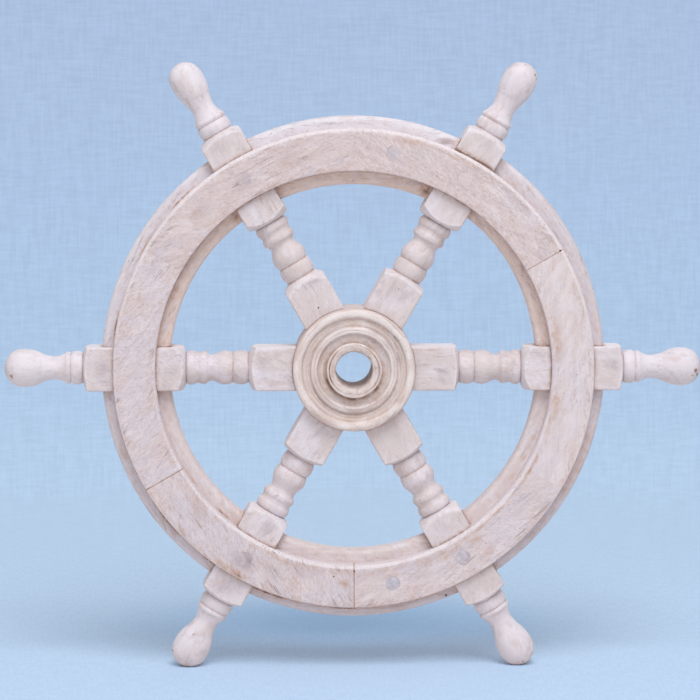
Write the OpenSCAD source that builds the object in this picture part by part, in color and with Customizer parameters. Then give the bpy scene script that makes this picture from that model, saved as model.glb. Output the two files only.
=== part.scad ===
// Ship steering wheel of whitewashed wood: six turned spokes, a rim in three layers and a hub on a bush.
// It stands upright. The axle runs along Y, the front faces -Y and the origin is the middle of the hub.
// Pieces are laid out flat, front face up, and stood up at the end.

/* [Overall] */
// Size across two opposite handle tips
wheel_d = 610; // [590:1:680]

/* [Rim] */
// Outer diameter of the felloes, the middle layer of the rim
rim_outer_d = 440; // [428:1:450]
// Inner diameter of the felloes
rim_inner_d = 321; // [309:1:333]
// Thickness of the felloes
felloe_t = 20; // [14:1:26]
// Rounding of the felloes' edges
felloe_edge_r = 4.8; // [1:0.1:6]
// Outer diameter of the facing rings
ring_outer_d = 419; // [406:1:426]
// Width of the facing rings
ring_w = 37; // [30:1:42]
// Thickness of each facing ring
ring_t = 15; // [12:1:20]
// Rounding of the facing rings' edges
ring_edge_r = 4.5; // [1:0.5:8]
// Gap at each seam between two ring segments
seam_gap = 0.4; // [0.1:0.1:1]

/* [Spokes] */
// Side of the square blank that a spoke is turned from
spoke_w = 38; // [34:1:42]
// Length of the square block beside the hub
hub_block_l = 35.5; // [26:0.5:42]
// Reach of the square block inside the rim
rim_block_in = 14.5; // [8:0.5:16]
// Reach of the square block outside the rim
rim_block_out = 15; // [10:0.5:20]
// Radius of the domed ends of the square blocks
dome_r = 16; // [15:0.5:20]
// Diameter at the bottom of the grooves between beads
groove_d = 26.5; // [24:0.5:28]
// Width of the grooves beside the two long beads
groove_w = 4; // [2:0.5:6]
// Diameter of the two long beads between hub and rim
bead_d = 29.6; // [29:0.1:34]
// Diameter of the beads beside the rim block
rim_bead_d = 30; // [29:0.1:34]
// Length of the beads beside the rim block
rim_bead_l = 7; // [5:0.5:9]
// Width of the grooves beside the rim block
rim_groove_w = 1.5; // [0.5:0.5:3]
// Diameter of the collars
collar_d = 28.5; // [28.5:0.1:32]
// Length of the collars
collar_l = 4.5; // [3:0.5:6]
// Diameter of the neck between the beads and the inner collar
neck_d = 22.8; // [18:0.1:23]
// Length of that neck
neck_l = 9.5; // [7:0.5:12]

/* [Handles] */
// Diameter of the handle at its neck
grip_neck_d = 20.2; // [16:0.1:22]
// Distance from the outer collar to the thinnest part of the handle
grip_neck_l = 8.5; // [6:0.5:12]
// Diameter of the bulb at the handle's end
bulb_d = 31; // [27:0.5:36]
// Angle below the widest part of the bulb at which the neck runs into it
bulb_join = 25; // [20:1:40]
// Height of the faint ridge where the bulb starts
bulb_ridge = 0.2; // [0.1:0.1:1]

/* [Hub] */
// Diameter of the hub
hub_d = 107; // [98:1:120]
// Diameter of the tenon on the inner end of each spoke
tenon_d = 20; // [14:1:24]
// Length of the tenon
tenon_l = 22; // [14:1:25]
// Thickness of the front plate between its mouldings
front_plate_t = 6; // [4:0.5:10]
// Width of the bead round the edge of the front plate
edge_bead_w = 8; // [6:0.5:10]
// Height of that bead above the plate
edge_bead_h = 5; // [3:0.5:8]
// Width of the dish inside the bead
dish_w = 8.5; // [5:0.5:10]
// Width of the raised ring inside the dish
inner_ring_w = 6; // [4:0.5:7]
// Height of the raised ring above the plate
inner_ring_h = 4.5; // [2:0.5:7]
// Rounding of the bead and of the raised ring
moulding_r = 2; // [0.5:0.1:2.1]
// Thickness of the back plate
back_plate_t = 6; // [5:0.5:10]
// Rounding of the back plate's edge
back_edge_r = 2; // [0.5:0.5:4]

/* [Bush] */
// Diameter of the hole for the shaft
bore_d = 32; // [24:1:34]
// Wall of the bush
bush_wall = 4; // [3:0.5:5]
// Reach of the bush flange past the wall
flange_reach = 4; // [2:0.5:6]
// Rounding of the flange and of the mouth of the hole
flange_edge_r = 2.5; // [0.5:0.1:2.7]
// Reach of the bush past the front of the hub
bush_front = 1; // [0:0.5:4]
// Reach of the bush past the back of the hub
bush_back = 1; // [0.5:0.5:4]

/* [Fasteners] */
// Diameter of the plugs in the front ring
plug_d = 13; // [9:0.5:16]
// Length of the plugs
plug_l = 6; // [3:0.5:8]
// Distance along the rim from a seam to the plugs beside it
plug_to_seam = 34.5; // [20:0.5:50]
// Shank diameter of the screws
screw_d = 4.2; // [3:0.1:5]
// Head diameter of the screws
screw_head_d = 8.4; // [7:0.1:9]
// Wood left behind the tips of the rim screws in the back ring
rim_screw_cover = 6; // [3:0.5:10]
// Wood left over the tips of the hub screws in the front plate
hub_screw_cover = 2; // [1:0.5:3]
// Distance from the edge of the hub to the hub screws
hub_screw_inset = 6.5; // [5:0.5:8]

/* [Fits] */
// Radial clearance of the hub on its bush
running_gap = 0.05; // [0.02:0.01:0.1]
// Clearance between the hub and the bush flange
end_gap = 0.3; // [0.1:0.1:0.6]
// Glue line in the tenon and notch joints, and room round the screws and plugs
glue_gap = 0.1; // [0.05:0.05:0.2]

/* [Hidden] */
$fn = 96;
spoke_count = 6;
spoke_pitch = 360 / spoke_count;
spoke_numbers = [1 : spoke_count];

// Radii and levels that several pieces share, measured from the axle and from the middle of the rim
hub_r = hub_d / 2;
tip_r = wheel_d / 2;
felloe_z = felloe_t / 2;
rim_z = felloe_z + ring_t;
spoke_z = spoke_w / 2;
plate_z = spoke_z + front_plate_t;
hub_front_z = plate_z + max(edge_bead_h, inner_ring_h);
hub_back_z = -spoke_z - back_plate_t;
felloe_w = (rim_outer_d - rim_inner_d) / 2;
ring_inner_r = ring_outer_d / 2 - ring_w;
ring_mid_r = ring_inner_r + ring_w / 2;

// Places along a spoke, counted out from the axle. Turning to square_d leaves the blank square
square_d = 2 * spoke_w;
hub_block_end = hub_r + hub_block_l;
rim_block_start = rim_inner_d / 2 - rim_block_in;
rim_block_end = rim_outer_d / 2 + rim_block_out;
inner_rim_bead = rim_block_start - rim_groove_w - rim_bead_l;
inner_collar = inner_rim_bead - groove_w - collar_l;
neck_start = inner_collar - neck_l;
bead_l = (neck_start - hub_block_end - 2 * groove_w) / 2;
first_bead = hub_block_end + groove_w;
second_bead = neck_start - bead_l;
outer_rim_bead = rim_block_end + rim_groove_w;
outer_collar = outer_rim_bead + rim_bead_l + groove_w;
grip_start = outer_collar + collar_l;

// The handle: a hollow down to the neck, then a long hollow that runs into the bulb
grip_neck = grip_start + grip_neck_l;
bulb_centre = tip_r - bulb_d / 2;
bulb_start = bulb_centre - bulb_d / 2 * sin(bulb_join);
neck_end_d = bulb_d * cos(bulb_join) - 2 * bulb_ridge;

// The bush, and the hole in the hub that runs on it
bush_r = bore_d / 2 + bush_wall;
hub_bore_r = bush_r + running_gap;

// Each ring segment has a screw over its spoke and one near each end
plug_angle = spoke_pitch / 2 - plug_to_seam / ring_mid_r * 180 / PI;
segment_screws = [-plug_angle, 0, plug_angle];
felloe_screws = [plug_angle - spoke_pitch / 2, spoke_pitch / 2 - plug_angle];
screw_head_h = (screw_head_d - screw_d) / 2;
rim_screw_l = 2 * rim_z - plug_l - rim_screw_cover;
hub_screw_l = plate_z - hub_back_z - hub_screw_cover;

// A rounding takes no more than this share of the piece that it is on
rounding_share = 0.48;

// How far a cutting shape runs past what it cuts
past = 1;
reach = wheel_d;

white_wood = "#ddd2d2";
pale_wood = "#d3c7c4";
plug_white = "#d3d8e2";
steel = "#9a9ea3";

function numbered(name) = [for (i = spoke_numbers) str(name, "_", i)];

// Radius of an arc over a chord, with its rise
function arc_r(chord, rise) = (chord * chord / 4 + rise * rise) / (2 * rise);

module stand_up() {
    rotate([90, 0, 0]) children();
}

module at_spoke(i) {
    rotate([0, 0, (i - 1) * spoke_pitch]) children();
}

module between_spokes(i) {
    rotate([0, 0, (i - 0.5) * spoke_pitch]) children();
}

module front_and_back() {
    children();
    mirror([0, 0, 1]) children();
}

// Section with a flat bottom and a rounded top, standing on the X axis
module rounded_top(w, h, edge_r) {
    r = min(edge_r, rounding_share * w, rounding_share * h);
    square([w, h - r]);
    translate([r, 0]) square([w - 2 * r, h]);
    for (x = [r, w - r]) translate([x, h - r]) circle(r);
}

// Everything between two straight cuts that lie half a gap inside the middle lines of two neighbours
module sector(gap) {
    half = spoke_pitch / 2;
    translate([gap / 2 / sin(half), 0, -reach / 2])
        linear_extrude(reach)
            polygon([[0, 0], [reach * cos(half), -reach * sin(half)], [reach * cos(half), reach * sin(half)]]);
}

// Countersunk screw with its head at the origin, pointing down
module screw(l, gap = 0) {
    shank_r = screw_d / 2 + gap;
    head_r = screw_head_d / 2 + gap;
    translate([0, 0, -screw_head_h]) cylinder(h = screw_head_h, r1 = shank_r, r2 = head_r);
    translate([0, 0, -l - gap]) cylinder(h = l + gap - screw_head_h / 2, r = shank_r);
}

module at_rim_screw(a) {
    rotate([0, 0, a]) translate([ring_mid_r, 0, rim_z - plug_l]) children();
}

module rim_screw_holes(angles) {
    for (a = angles) at_rim_screw(a) {
        screw(rim_screw_l, glue_gap);
        cylinder(h = plug_l + past, r = plug_d / 2 + glue_gap);
    }
}

module at_hub_screw(i) {
    between_spokes(i) translate([hub_r - hub_screw_inset, 0, hub_back_z]) mirror([0, 0, 1]) children();
}

module hub_screw_holes() {
    for (i = spoke_numbers) at_hub_screw(i) {
        screw(hub_screw_l, glue_gap);
        cylinder(h = past, r = screw_head_d / 2 + glue_gap);
    }
}

module hub_bore() {
    cylinder(h = reach, r = hub_bore_r, center = true);
}

// Half section of a turned length, from its start outwards
module shaft(start, l, d) {
    translate([0, start]) square([d / 2, l]);
}

module bead(start, l, d) {
    r = arc_r(l, (d - groove_d) / 2);
    intersection() {
        translate([d / 2 - r, start + l / 2]) circle(r);
        shaft(start, l, 2 * d);
    }
}

// Half a hollow, from its thinnest place to a wider end on either side
module half_hollow(middle, l, end_d, middle_d) {
    r = arc_r(2 * l, (end_d - middle_d) / 2);
    difference() {
        shaft(min(middle, middle + l), abs(l), end_d);
        translate([middle_d / 2 + r, middle]) circle(r);
    }
}

// Domed end of a square block, with the top of the dome at the X axis
module block_dome() {
    intersection() {
        shaft(-dome_r, dome_r, square_d);
        union() {
            shaft(-dome_r, dome_r, groove_d);
            translate([groove_d / 2, -dome_r]) circle(dome_r);
        }
    }
}

module blocks() {
    shaft(0, hub_block_end - dome_r, square_d);
    translate([0, hub_block_end]) block_dome();
    translate([0, rim_block_start]) mirror([0, 1]) block_dome();
    shaft(rim_block_start + dome_r, rim_block_end - rim_block_start - 2 * dome_r, square_d);
    translate([0, rim_block_end]) block_dome();
}

module beads() {
    shaft(hub_block_end, neck_start - hub_block_end, groove_d);
    bead(first_bead, bead_l, bead_d);
    bead(second_bead, bead_l, bead_d);
    half_hollow(neck_start + neck_l / 2, -neck_l / 2, groove_d, neck_d);
    half_hollow(neck_start + neck_l / 2, neck_l / 2, groove_d, neck_d);
    shaft(inner_collar, rim_block_start - inner_collar, groove_d);
    bead(inner_collar, collar_l, collar_d);
    bead(inner_rim_bead, rim_bead_l, rim_bead_d);
    shaft(rim_block_end, grip_start - rim_block_end, groove_d);
    bead(outer_rim_bead, rim_bead_l, rim_bead_d);
    bead(outer_collar, collar_l, collar_d);
}

module grip() {
    half_hollow(grip_neck, -grip_neck_l, groove_d, grip_neck_d);
    half_hollow(grip_neck, bulb_start - grip_neck, neck_end_d, grip_neck_d);
    intersection() {
        translate([0, bulb_centre]) circle(bulb_d / 2);
        shaft(bulb_start, tip_r - bulb_start + past, 2 * bulb_d);
    }
}

// The spoke along +X, before its joints are cut
module turned_spoke() {
    intersection() {
        rotate([0, 90, 0]) rotate_extrude() {
            blocks();
            beads();
            grip();
        }
        translate([0, -spoke_z, -spoke_z]) cube([tip_r + past, spoke_w, spoke_w]);
    }
}

module tenon(gap = 0) {
    translate([hub_r - tenon_l - gap, 0, 0])
        rotate([0, 90, 0])
            cylinder(h = tenon_l + gap + past, r = tenon_d / 2 + gap);
}

module spoke(i) {
    color(white_wood) stand_up() at_spoke(i) {
        difference() {
            turned_spoke();
            cylinder(h = reach, r = hub_r + glue_gap, center = true);
            front_and_back()
                rotate_extrude()
                    translate([ring_inner_r - glue_gap, felloe_z]) square([ring_w + 2 * glue_gap, reach]);
            rim_screw_holes([0]);
        }
        tenon();
    }
}

module felloe(i) {
    color(pale_wood) stand_up() between_spokes(i) difference() {
        intersection() {
            rotate_extrude() translate([rim_inner_d / 2, 0]) {
                rounded_top(felloe_w, felloe_z, felloe_edge_r);
                mirror([0, 1]) rounded_top(felloe_w, felloe_z, felloe_edge_r);
            }
            sector(spoke_w);
        }
        rim_screw_holes(felloe_screws);
    }
}

module facing_segment() {
    intersection() {
        rotate_extrude() translate([ring_inner_r, felloe_z]) rounded_top(ring_w, ring_t, ring_edge_r);
        sector(seam_gap);
    }
}

module front_rim_segment(i) {
    color(white_wood) stand_up() at_spoke(i) difference() {
        facing_segment();
        rim_screw_holes(segment_screws);
    }
}

module back_rim_segment(i) {
    color(white_wood) stand_up() at_spoke(i) difference() {
        mirror([0, 0, 1]) facing_segment();
        rim_screw_holes(segment_screws);
    }
}

module hub_core() {
    color(pale_wood) stand_up() difference() {
        cylinder(h = spoke_w, r = hub_r, center = true);
        hub_bore();
        for (i = spoke_numbers) at_spoke(i) tenon(glue_gap);
        hub_screw_holes();
    }
}

module hub_front_plate() {
    color(white_wood) stand_up() difference() {
        rotate_extrude() {
            translate([0, spoke_z]) square([hub_r, front_plate_t]);
            translate([hub_r - edge_bead_w, plate_z]) rounded_top(edge_bead_w, edge_bead_h, moulding_r);
            translate([hub_r - edge_bead_w - dish_w - inner_ring_w, plate_z])
                rounded_top(inner_ring_w, inner_ring_h, moulding_r);
        }
        hub_bore();
        hub_screw_holes();
    }
}

module hub_back_plate() {
    color(white_wood) stand_up() difference() {
        rotate_extrude() translate([0, -spoke_z]) mirror([0, 1]) intersection() {
            translate([-hub_r, 0]) rounded_top(hub_d, back_plate_t, back_edge_r);
            square([hub_r, back_plate_t]);
        }
        hub_bore();
        hub_screw_holes();
    }
}

module hub_bush() {
    flange_back = plate_z + end_gap;
    bush_start = hub_back_z - bush_back;
    color(pale_wood) stand_up() rotate_extrude() translate([bore_d / 2, 0]) {
        translate([0, bush_start]) square([bush_wall, flange_back - bush_start]);
        translate([0, flange_back])
            rounded_top(bush_wall + flange_reach, hub_front_z + bush_front - flange_back, flange_edge_r);
    }
}

module rim_plugs() {
    color(plug_white) stand_up()
        for (i = spoke_numbers, a = segment_screws) at_spoke(i) at_rim_screw(a) cylinder(h = plug_l, r = plug_d / 2);
}

module rim_screws() {
    color(steel) stand_up()
        for (i = spoke_numbers, a = segment_screws) at_spoke(i) at_rim_screw(a) screw(rim_screw_l);
}

module hub_screws() {
    color(steel) stand_up() for (i = spoke_numbers) at_hub_screw(i) screw(hub_screw_l);
}

for (i = spoke_numbers) {
    spoke(i);
    felloe(i);
    front_rim_segment(i);
    back_rim_segment(i);
}
hub_core();
hub_front_plate();
hub_back_plate();
hub_bush();
rim_plugs();
rim_screws();
hub_screws();
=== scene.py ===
import math

import bmesh
import bpy
import numpy as np
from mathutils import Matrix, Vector, noise


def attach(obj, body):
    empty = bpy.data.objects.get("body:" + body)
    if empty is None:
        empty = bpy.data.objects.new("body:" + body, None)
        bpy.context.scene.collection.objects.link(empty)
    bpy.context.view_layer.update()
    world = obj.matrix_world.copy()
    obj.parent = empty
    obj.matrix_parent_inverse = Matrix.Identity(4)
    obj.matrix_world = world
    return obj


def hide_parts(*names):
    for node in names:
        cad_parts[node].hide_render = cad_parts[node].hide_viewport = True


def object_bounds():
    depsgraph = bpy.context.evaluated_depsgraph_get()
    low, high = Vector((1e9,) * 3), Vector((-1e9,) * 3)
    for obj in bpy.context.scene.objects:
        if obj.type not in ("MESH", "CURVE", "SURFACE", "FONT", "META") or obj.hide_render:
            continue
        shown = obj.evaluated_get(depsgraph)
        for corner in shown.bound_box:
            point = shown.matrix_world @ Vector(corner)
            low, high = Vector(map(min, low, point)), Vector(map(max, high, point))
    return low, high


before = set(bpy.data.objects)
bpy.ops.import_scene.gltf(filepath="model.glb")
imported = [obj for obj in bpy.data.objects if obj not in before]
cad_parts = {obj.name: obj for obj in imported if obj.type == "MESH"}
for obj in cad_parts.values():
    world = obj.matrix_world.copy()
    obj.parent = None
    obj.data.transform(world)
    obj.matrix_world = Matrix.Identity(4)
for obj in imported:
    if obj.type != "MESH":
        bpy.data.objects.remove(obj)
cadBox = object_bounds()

mm = 0.001
spokeCount = 6
pitch = 2 * math.pi / spokeCount
print("frame loaded with", len(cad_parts), "nodes")


# sizes of the wheel, read off the frame; levels count up towards the front
def nodePoints(node):
    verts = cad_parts[node].data.vertices
    flat = np.empty(3 * len(verts))
    verts.foreach_get("co", flat)
    return flat.reshape(-1, 3)


def fromAxle(points):
    return np.hypot(points[:, 0], points[:, 2])


def radiusSpan(node):
    away = fromAxle(nodePoints(node))
    return away.min(), away.max()


def levelSpan(node):
    points = nodePoints(node)
    return -points[:, 1].max(), -points[:, 1].min()


tenonEnd, tipR = radiusSpan("spoke_1")
hubBoreR, hubR = radiusSpan("hub_core")
boreR, flangeR = radiusSpan("hub_bush")
felloeIn, felloeOut = radiusSpan("felloe_1")
ringIn, ringOut = radiusSpan("front_rim_segment_1")
ringMiddle = 0.5 * (ringIn + ringOut)
blockHalf = levelSpan("spoke_1")[1]
felloeHalf = levelSpan("felloe_1")[1]
ringFront = levelSpan("front_rim_segment_1")[1]
hubFront = levelSpan("hub_front_plate")[1]
bushBack, bushFront = levelSpan("hub_bush")
floorLevel = cadBox[0].z


# shader building blocks
def paint(red, green, blue):  # a colour as it should look on screen, 0 to 255
    shares = [value / 255 for value in (red, green, blue)]
    return (*[s / 12.92 if s < 0.04 else ((s + 0.055) / 1.055) ** 2.4 for s in shares], 1.0)


def feed(tree, socket, value):
    if isinstance(value, bpy.types.NodeSocket):
        tree.links.new(value, socket)
    else:
        socket.default_value = value


def calc(tree, operation, first, second=0.0):
    made = tree.nodes.new("ShaderNodeMath")
    made.operation = operation
    feed(tree, made.inputs[0], first)
    feed(tree, made.inputs[1], second)
    return made.outputs[0]


def between(tree, value, low, high, bottom=0.0, top=1.0):
    made = tree.nodes.new("ShaderNodeMapRange")
    made.interpolation_type = "SMOOTHSTEP"
    for socket, number in zip(made.inputs[:5], (value, low, high, bottom, top)):
        feed(tree, socket, number)
    return made.outputs[0]


def mixed(tree, share, first, second):
    made = tree.nodes.new("ShaderNodeMix")
    made.data_type = "RGBA"
    feed(tree, made.inputs[0], share)
    feed(tree, made.inputs[6], first)
    feed(tree, made.inputs[7], second)
    return made.outputs[2]


def vectorCalc(tree, operation, first, second=(0.0, 0.0, 0.0)):
    made = tree.nodes.new("ShaderNodeVectorMath")
    made.operation = operation
    feed(tree, made.inputs[0], first)
    feed(tree, made.inputs[1], second)
    return made.outputs["Value" if operation == "LENGTH" else "Vector"]


def scaled(tree, vector, along, across):
    return vectorCalc(tree, "MULTIPLY", vector, (along, across, across))


def cloud(tree, vector, detail=4.0, rough=0.6):
    made = tree.nodes.new("ShaderNodeTexNoise")
    feed(tree, made.inputs["Vector"], vector)
    made.inputs["Scale"].default_value = 1.0
    made.inputs["Detail"].default_value = detail
    made.inputs["Roughness"].default_value = rough
    return made


def coat(tree, name):  # what the pieces' points carry
    made = tree.nodes.new("ShaderNodeAttribute")
    made.attribute_name = name
    return made


def newMaterial(name):
    material = bpy.data.materials.new(name)
    material.use_nodes = True
    tree = material.node_tree
    return material, tree, tree.nodes["Principled BSDF"]


# whitewashed wood: soft patches, long grain lines, dry brush marks, scratches, dirt in the crevices; the soil
# and grime coats also carry painted shade, and the pale coat carries painted highlights
washColours = {
    "cream": (211, 196, 197),
    "lavender": (209, 200, 209),
    "chalkAndHighlight": (230, 223, 228),
    "blush": (202, 178, 175),
    "smoke": (190, 181, 191),
    "line": (192, 175, 177),
    "scuff": (152, 129, 125),
    "bare": (196, 168, 153),
    "stainAndShade": (192, 156, 134),
    "soilAndShade": (124, 98, 87),
    "knot": (190, 150, 142),
    "filler": (154, 162, 186),
    "warmBounce": (230, 208, 199),
    "grimeAndShade": (150, 131, 135),
    "pit": (58, 46, 44),
}
washWay = {
    "fibreDrift": 12 * mm,   # how far the fibres wander across the board
    "brushSlant": 24,        # the brush went over the board at this angle, in degrees
    "pitDepth": 0.3,         # share of the depth that counts when a pit is placed
    "pitRagged": 0.8 * mm,
    "gloss": 0.3,
    "relief": (0.6, 0.6 * mm),   # strength and height of the bump
}


def whitewash(name, figure, scuffs, chalkAndHighlight, fibre, smudges, tints=None, knots=0.0, boards=True, pits=()):
    colours = {shade: paint(*values) for shade, values in {**washColours, **(tints or {})}.items()}
    material, tree, shader = newMaterial(name)
    place = tree.nodes.new("ShaderNodeTexCoord").outputs["Object"]
    grain = coat(tree, "grain").outputs["Vector"] if boards else place
    carried = ("soilAndShade", "wear", "tone", "paleAndHighlight", "fill", "grimeAndShade", "rough")
    soilAndShade, wear, tone, paleAndHighlight, fill, grimeAndShade, rough = [coat(tree, kind).outputs["Fac"] for kind in carried]

    def field(vector, along, across, detail, roughness):
        return cloud(tree, scaled(tree, vector, along, across), detail, roughness).outputs[0]

    def times(first, second):
        return calc(tree, "MULTIPLY", first, second)

    def plus(first, second):
        return calc(tree, "ADD", first, second)

    def step(value, low, high, bottom=0.0, top=1.0):
        return between(tree, value, low, high, bottom, top)

    drift = washWay["fibreDrift"]
    wander = cloud(tree, scaled(tree, grain, 8, 14), 2.0, 0.5).outputs["Color"]
    line = vectorCalc(tree, "ADD", vectorCalc(tree, "MULTIPLY", wander, (0.0, drift, drift)), grain)
    slant = tree.nodes.new("ShaderNodeVectorRotate")
    slant.rotation_type = "Z_AXIS"
    feed(tree, slant.inputs["Vector"], line)
    slant.inputs["Angle"].default_value = math.radians(washWay["brushSlant"])
    stroke = slant.outputs[0]

    patches = plus(field(grain, 26, 44, 5.0, 0.62), times(tone, 0.10))
    lines = field(line, 6, 220, 4.0, 0.58)
    fibres = field(line, 42, 480, 5.0, 0.70)
    blushes = field(line, 40, 75, 5.0, 0.64)
    clouds = field(stroke, 55, 85, 5.0, 0.68)
    brush = field(stroke, 44, 170, 6.0, 0.66)
    grit = field(place, 820, 820, 2.0, 0.6)
    nicks = field(stroke, 300, 780, 3.0, 0.7)
    specks = field(place, 560, 560, 2.0, 0.5)
    scratches = field(line, 48, 620, 4.0, 0.6)
    rubs = field(line, 22, 130, 6.0, 0.72)
    broken = field(place, 170, 170, 5.0, 0.70)
    thin = step(field(place, 21, 21, 3.0, 0.5), 0.44, 0.62)

    # the wash, coat over coat: where each coat lies, and its colour
    layers = [
        # painted warm bounce light: a lighter, warmer colour in the shade on the inner sides of the upper
        # felloes
        (step(tone, -1.6, -3.0), "warmBounce"),
        (step(lines, 0.50, 0.66, 0.0, 0.7 * figure), "line"),
        (step(blushes, 0.50, 0.70, 0.0, smudges), "blush"),
        (step(clouds, 0.52, 0.70, 0.0, smudges), "smoke"),
        # the pale coat lays chalk: wash, and painted highlights where edges and sides face up
        (step(plus(brush, times(paleAndHighlight, 0.22)), 0.50, 0.66, 0.0, chalkAndHighlight), "chalkAndHighlight"),
        (times(paleAndHighlight, step(broken, 0.30, 0.50)), "chalkAndHighlight"),
        (step(fibres, 0.53, 0.66, 0.0, fibre), "line"),
        (step(fibres, 0.47, 0.34, 0.0, fibre), "chalkAndHighlight"),
        (step(grit, 0.50, 0.70, 0.0, 0.16), "line"),
        (step(grit, 0.50, 0.30, 0.0, 0.20), "chalkAndHighlight"),
        (times(rough, step(nicks, 0.52, 0.70, 0.0, 0.5)), "scuff"),
        (times(rough, step(nicks, 0.48, 0.30, 0.0, 0.6)), "chalkAndHighlight"),
        (times(fill, step(broken, 0.30, 0.60, 1.0, 0.35)), "filler"),
    ]

    # where the wash wore thin it shows scratches and specks of brown wood, more along worn edges
    scratched = times(thin, step(scratches, 0.58, 0.70, 0.0, scuffs))
    layers += [
        (scratched, "scuff"),
        (times(thin, step(specks, 0.64, 0.74, 0.0, scuffs)), "scuff"),
        (step(plus(rubs, times(wear, 0.13)), 0.60, 0.76, 0.0, scuffs), "scuff"),
        (times(wear, step(broken, 0.50, 0.64)), "bare"),
    ]
    if knots:
        cells = tree.nodes.new("ShaderNodeTexVoronoi")
        feed(tree, cells.inputs["Vector"], scaled(tree, line, 16, 34))
        cells.inputs["Scale"].default_value = 1.0
        chosen = tree.nodes.new("ShaderNodeSeparateXYZ")
        feed(tree, chosen.inputs[0], cells.outputs["Color"])
        rare = step(chosen.outputs[0], 0.80, 0.82)
        ragged = plus(cells.outputs["Distance"], times(broken, 0.25))
        layers.append((times(rare, step(ragged, 0.29, 0.17, 0.0, knots)), "knot"))

    # grey smears and painted shade, then crevices that hold brown dirt and painted shade, with a rusty stain
    # at its border
    darkening = times(soilAndShade, step(broken, 0.30, 0.62, 0.30, 1.0))
    layers += [
        (times(grimeAndShade, step(rubs, 0.38, 0.62, 0.65, 1.0)), "grimeAndShade"),
        (step(darkening, 0.04, 0.50, 0.0, 0.60), "stainAndShade"),
        (step(darkening, 0.40, 1.0, 0.0, 0.90), "soilAndShade"),
    ]

    # nail holes and pits with a ragged border
    border = times(broken, washWay["pitRagged"])
    inside = 0.5 * washWay["pitRagged"]
    for degrees, reach, level, size in pits:
        turn = math.radians(degrees)
        centre = (reach * math.cos(turn), -level, reach * math.sin(turn))
        offset = vectorCalc(tree, "SUBTRACT", place, centre)
        flat = vectorCalc(tree, "MULTIPLY", offset, (1.0, washWay["pitDepth"], 1.0))
        away = plus(vectorCalc(tree, "LENGTH", flat), border)
        layers.append((step(away, size + inside, 0.5 * size + inside), "pit"))

    colour = mixed(tree, step(patches, 0.40, 0.60), colours["cream"], colours["lavender"])
    for share, shade in layers:
        colour = mixed(tree, share, colour, colours[shade])
    feed(tree, shader.inputs["Base Color"], colour)
    feed(tree, shader.inputs["Roughness"], step(brush, 0.35, 0.65, 0.58, 0.74))
    shader.inputs["Specular IOR Level"].default_value = washWay["gloss"]
    relief = plus(times(brush, 0.8), times(fibres, 0.45))
    for dent, depth in ((lines, 0.35), (scratched, 0.5)):
        relief = calc(tree, "SUBTRACT", relief, times(dent, depth))
    bump = tree.nodes.new("ShaderNodeBump")
    bump.inputs["Strength"].default_value, bump.inputs["Distance"].default_value = washWay["relief"]
    feed(tree, bump.inputs["Height"], relief)
    feed(tree, shader.inputs["Normal"], bump.outputs[0])
    return material


steelLook = {
    "bright": (158, 158, 156),
    "dull": (112, 96, 84),
    "metallic": 0.9,
}


def screwSteel():
    material, tree, shader = newMaterial("screwSteel")
    place = tree.nodes.new("ShaderNodeTexCoord").outputs["Object"]
    tarnish = cloud(tree, scaled(tree, place, 420, 420), 5.0, 0.65).outputs[0]
    dulled = between(tree, tarnish, 0.45, 0.68)
    colour = mixed(tree, dulled, paint(*steelLook["bright"]), paint(*steelLook["dull"]))
    feed(tree, shader.inputs["Base Color"], colour)
    feed(tree, shader.inputs["Roughness"], between(tree, tarnish, 0.3, 0.7, 0.34, 0.62))
    shader.inputs["Metallic"].default_value = steelLook["metallic"]
    return material


# colours of single woods that stand in for those above
turnedTints = {
    "cream": (213, 202, 204),
    "lavender": (223, 216, 225),
    "chalkAndHighlight": (231, 226, 232),
    "blush": (200, 182, 180),
    "smoke": (184, 174, 180),
    "line": (201, 188, 192),
    "stainAndShade": (188, 159, 144),
    "grimeAndShade": (164, 150, 160),
}
hubTints = {
    "cream": (213, 197, 192),
    "lavender": (209, 198, 199),
    "chalkAndHighlight": (232, 224, 225),
    "blush": (194, 170, 158),
    "smoke": (180, 165, 164),
    "line": (184, 160, 149),
    "stainAndShade": (178, 144, 123),
}
felloeTints = {
    "cream": (214, 201, 202),
    "lavender": (218, 213, 223),
    "chalkAndHighlight": (231, 228, 234),
    "line": (195, 181, 182),
    "stainAndShade": (202, 168, 148),
    "grimeAndShade": (162, 137, 138),
}

# nail holes and pits: degrees, distance from the axle, level and size
blockPits = ((119.9, 62.1 * mm, blockHalf, 0.9 * mm), (61.0, 80.0 * mm, blockHalf, 0.7 * mm))
facingPits = ((270.0, 177.0 * mm, ringFront, 1.1 * mm), (30.1, 206.4 * mm, ringFront, 1.2 * mm),
              (264.4, 182.4 * mm, ringFront, 0.9 * mm))
felloePits = ((292.0, 217.4 * mm, felloeHalf, 1.5 * mm),)

# strength of the long lines, the scuffs, the chalk, the fibres and the smudges
turnedWood = whitewash("turnedWhiteWood", 0.2, 0.4, 0.35, 0.14, 0.6, tints=turnedTints, pits=blockPits)
facingWood = whitewash("facingWhiteWood", 0.5, 0.8, 0.45, 0.26, 0.55, knots=0.4, pits=facingPits)
felloeWood = whitewash("felloeWood", 0.5, 0.6, 0.4, 0.3, 0.35, tints=felloeTints, pits=felloePits)
hubWood = whitewash("hubWood", 0.6, 0.8, 0.6, 0.4, 0.5, tints=hubTints)
bushWood = whitewash("bushWood", 0.5, 0.9, 0.5, 0.3, 0.45, tints=hubTints)
plugWood = whitewash("plugWood", 0.5, 0.6, 0.45, 0.26, 0.5)
plainHubWood = whitewash("plainHubWood", 0.6, 0.6, 0.3, 0.3, 0.6, boards=False, tints=hubTints)
steel = screwSteel()
print("finishes mixed")


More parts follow.
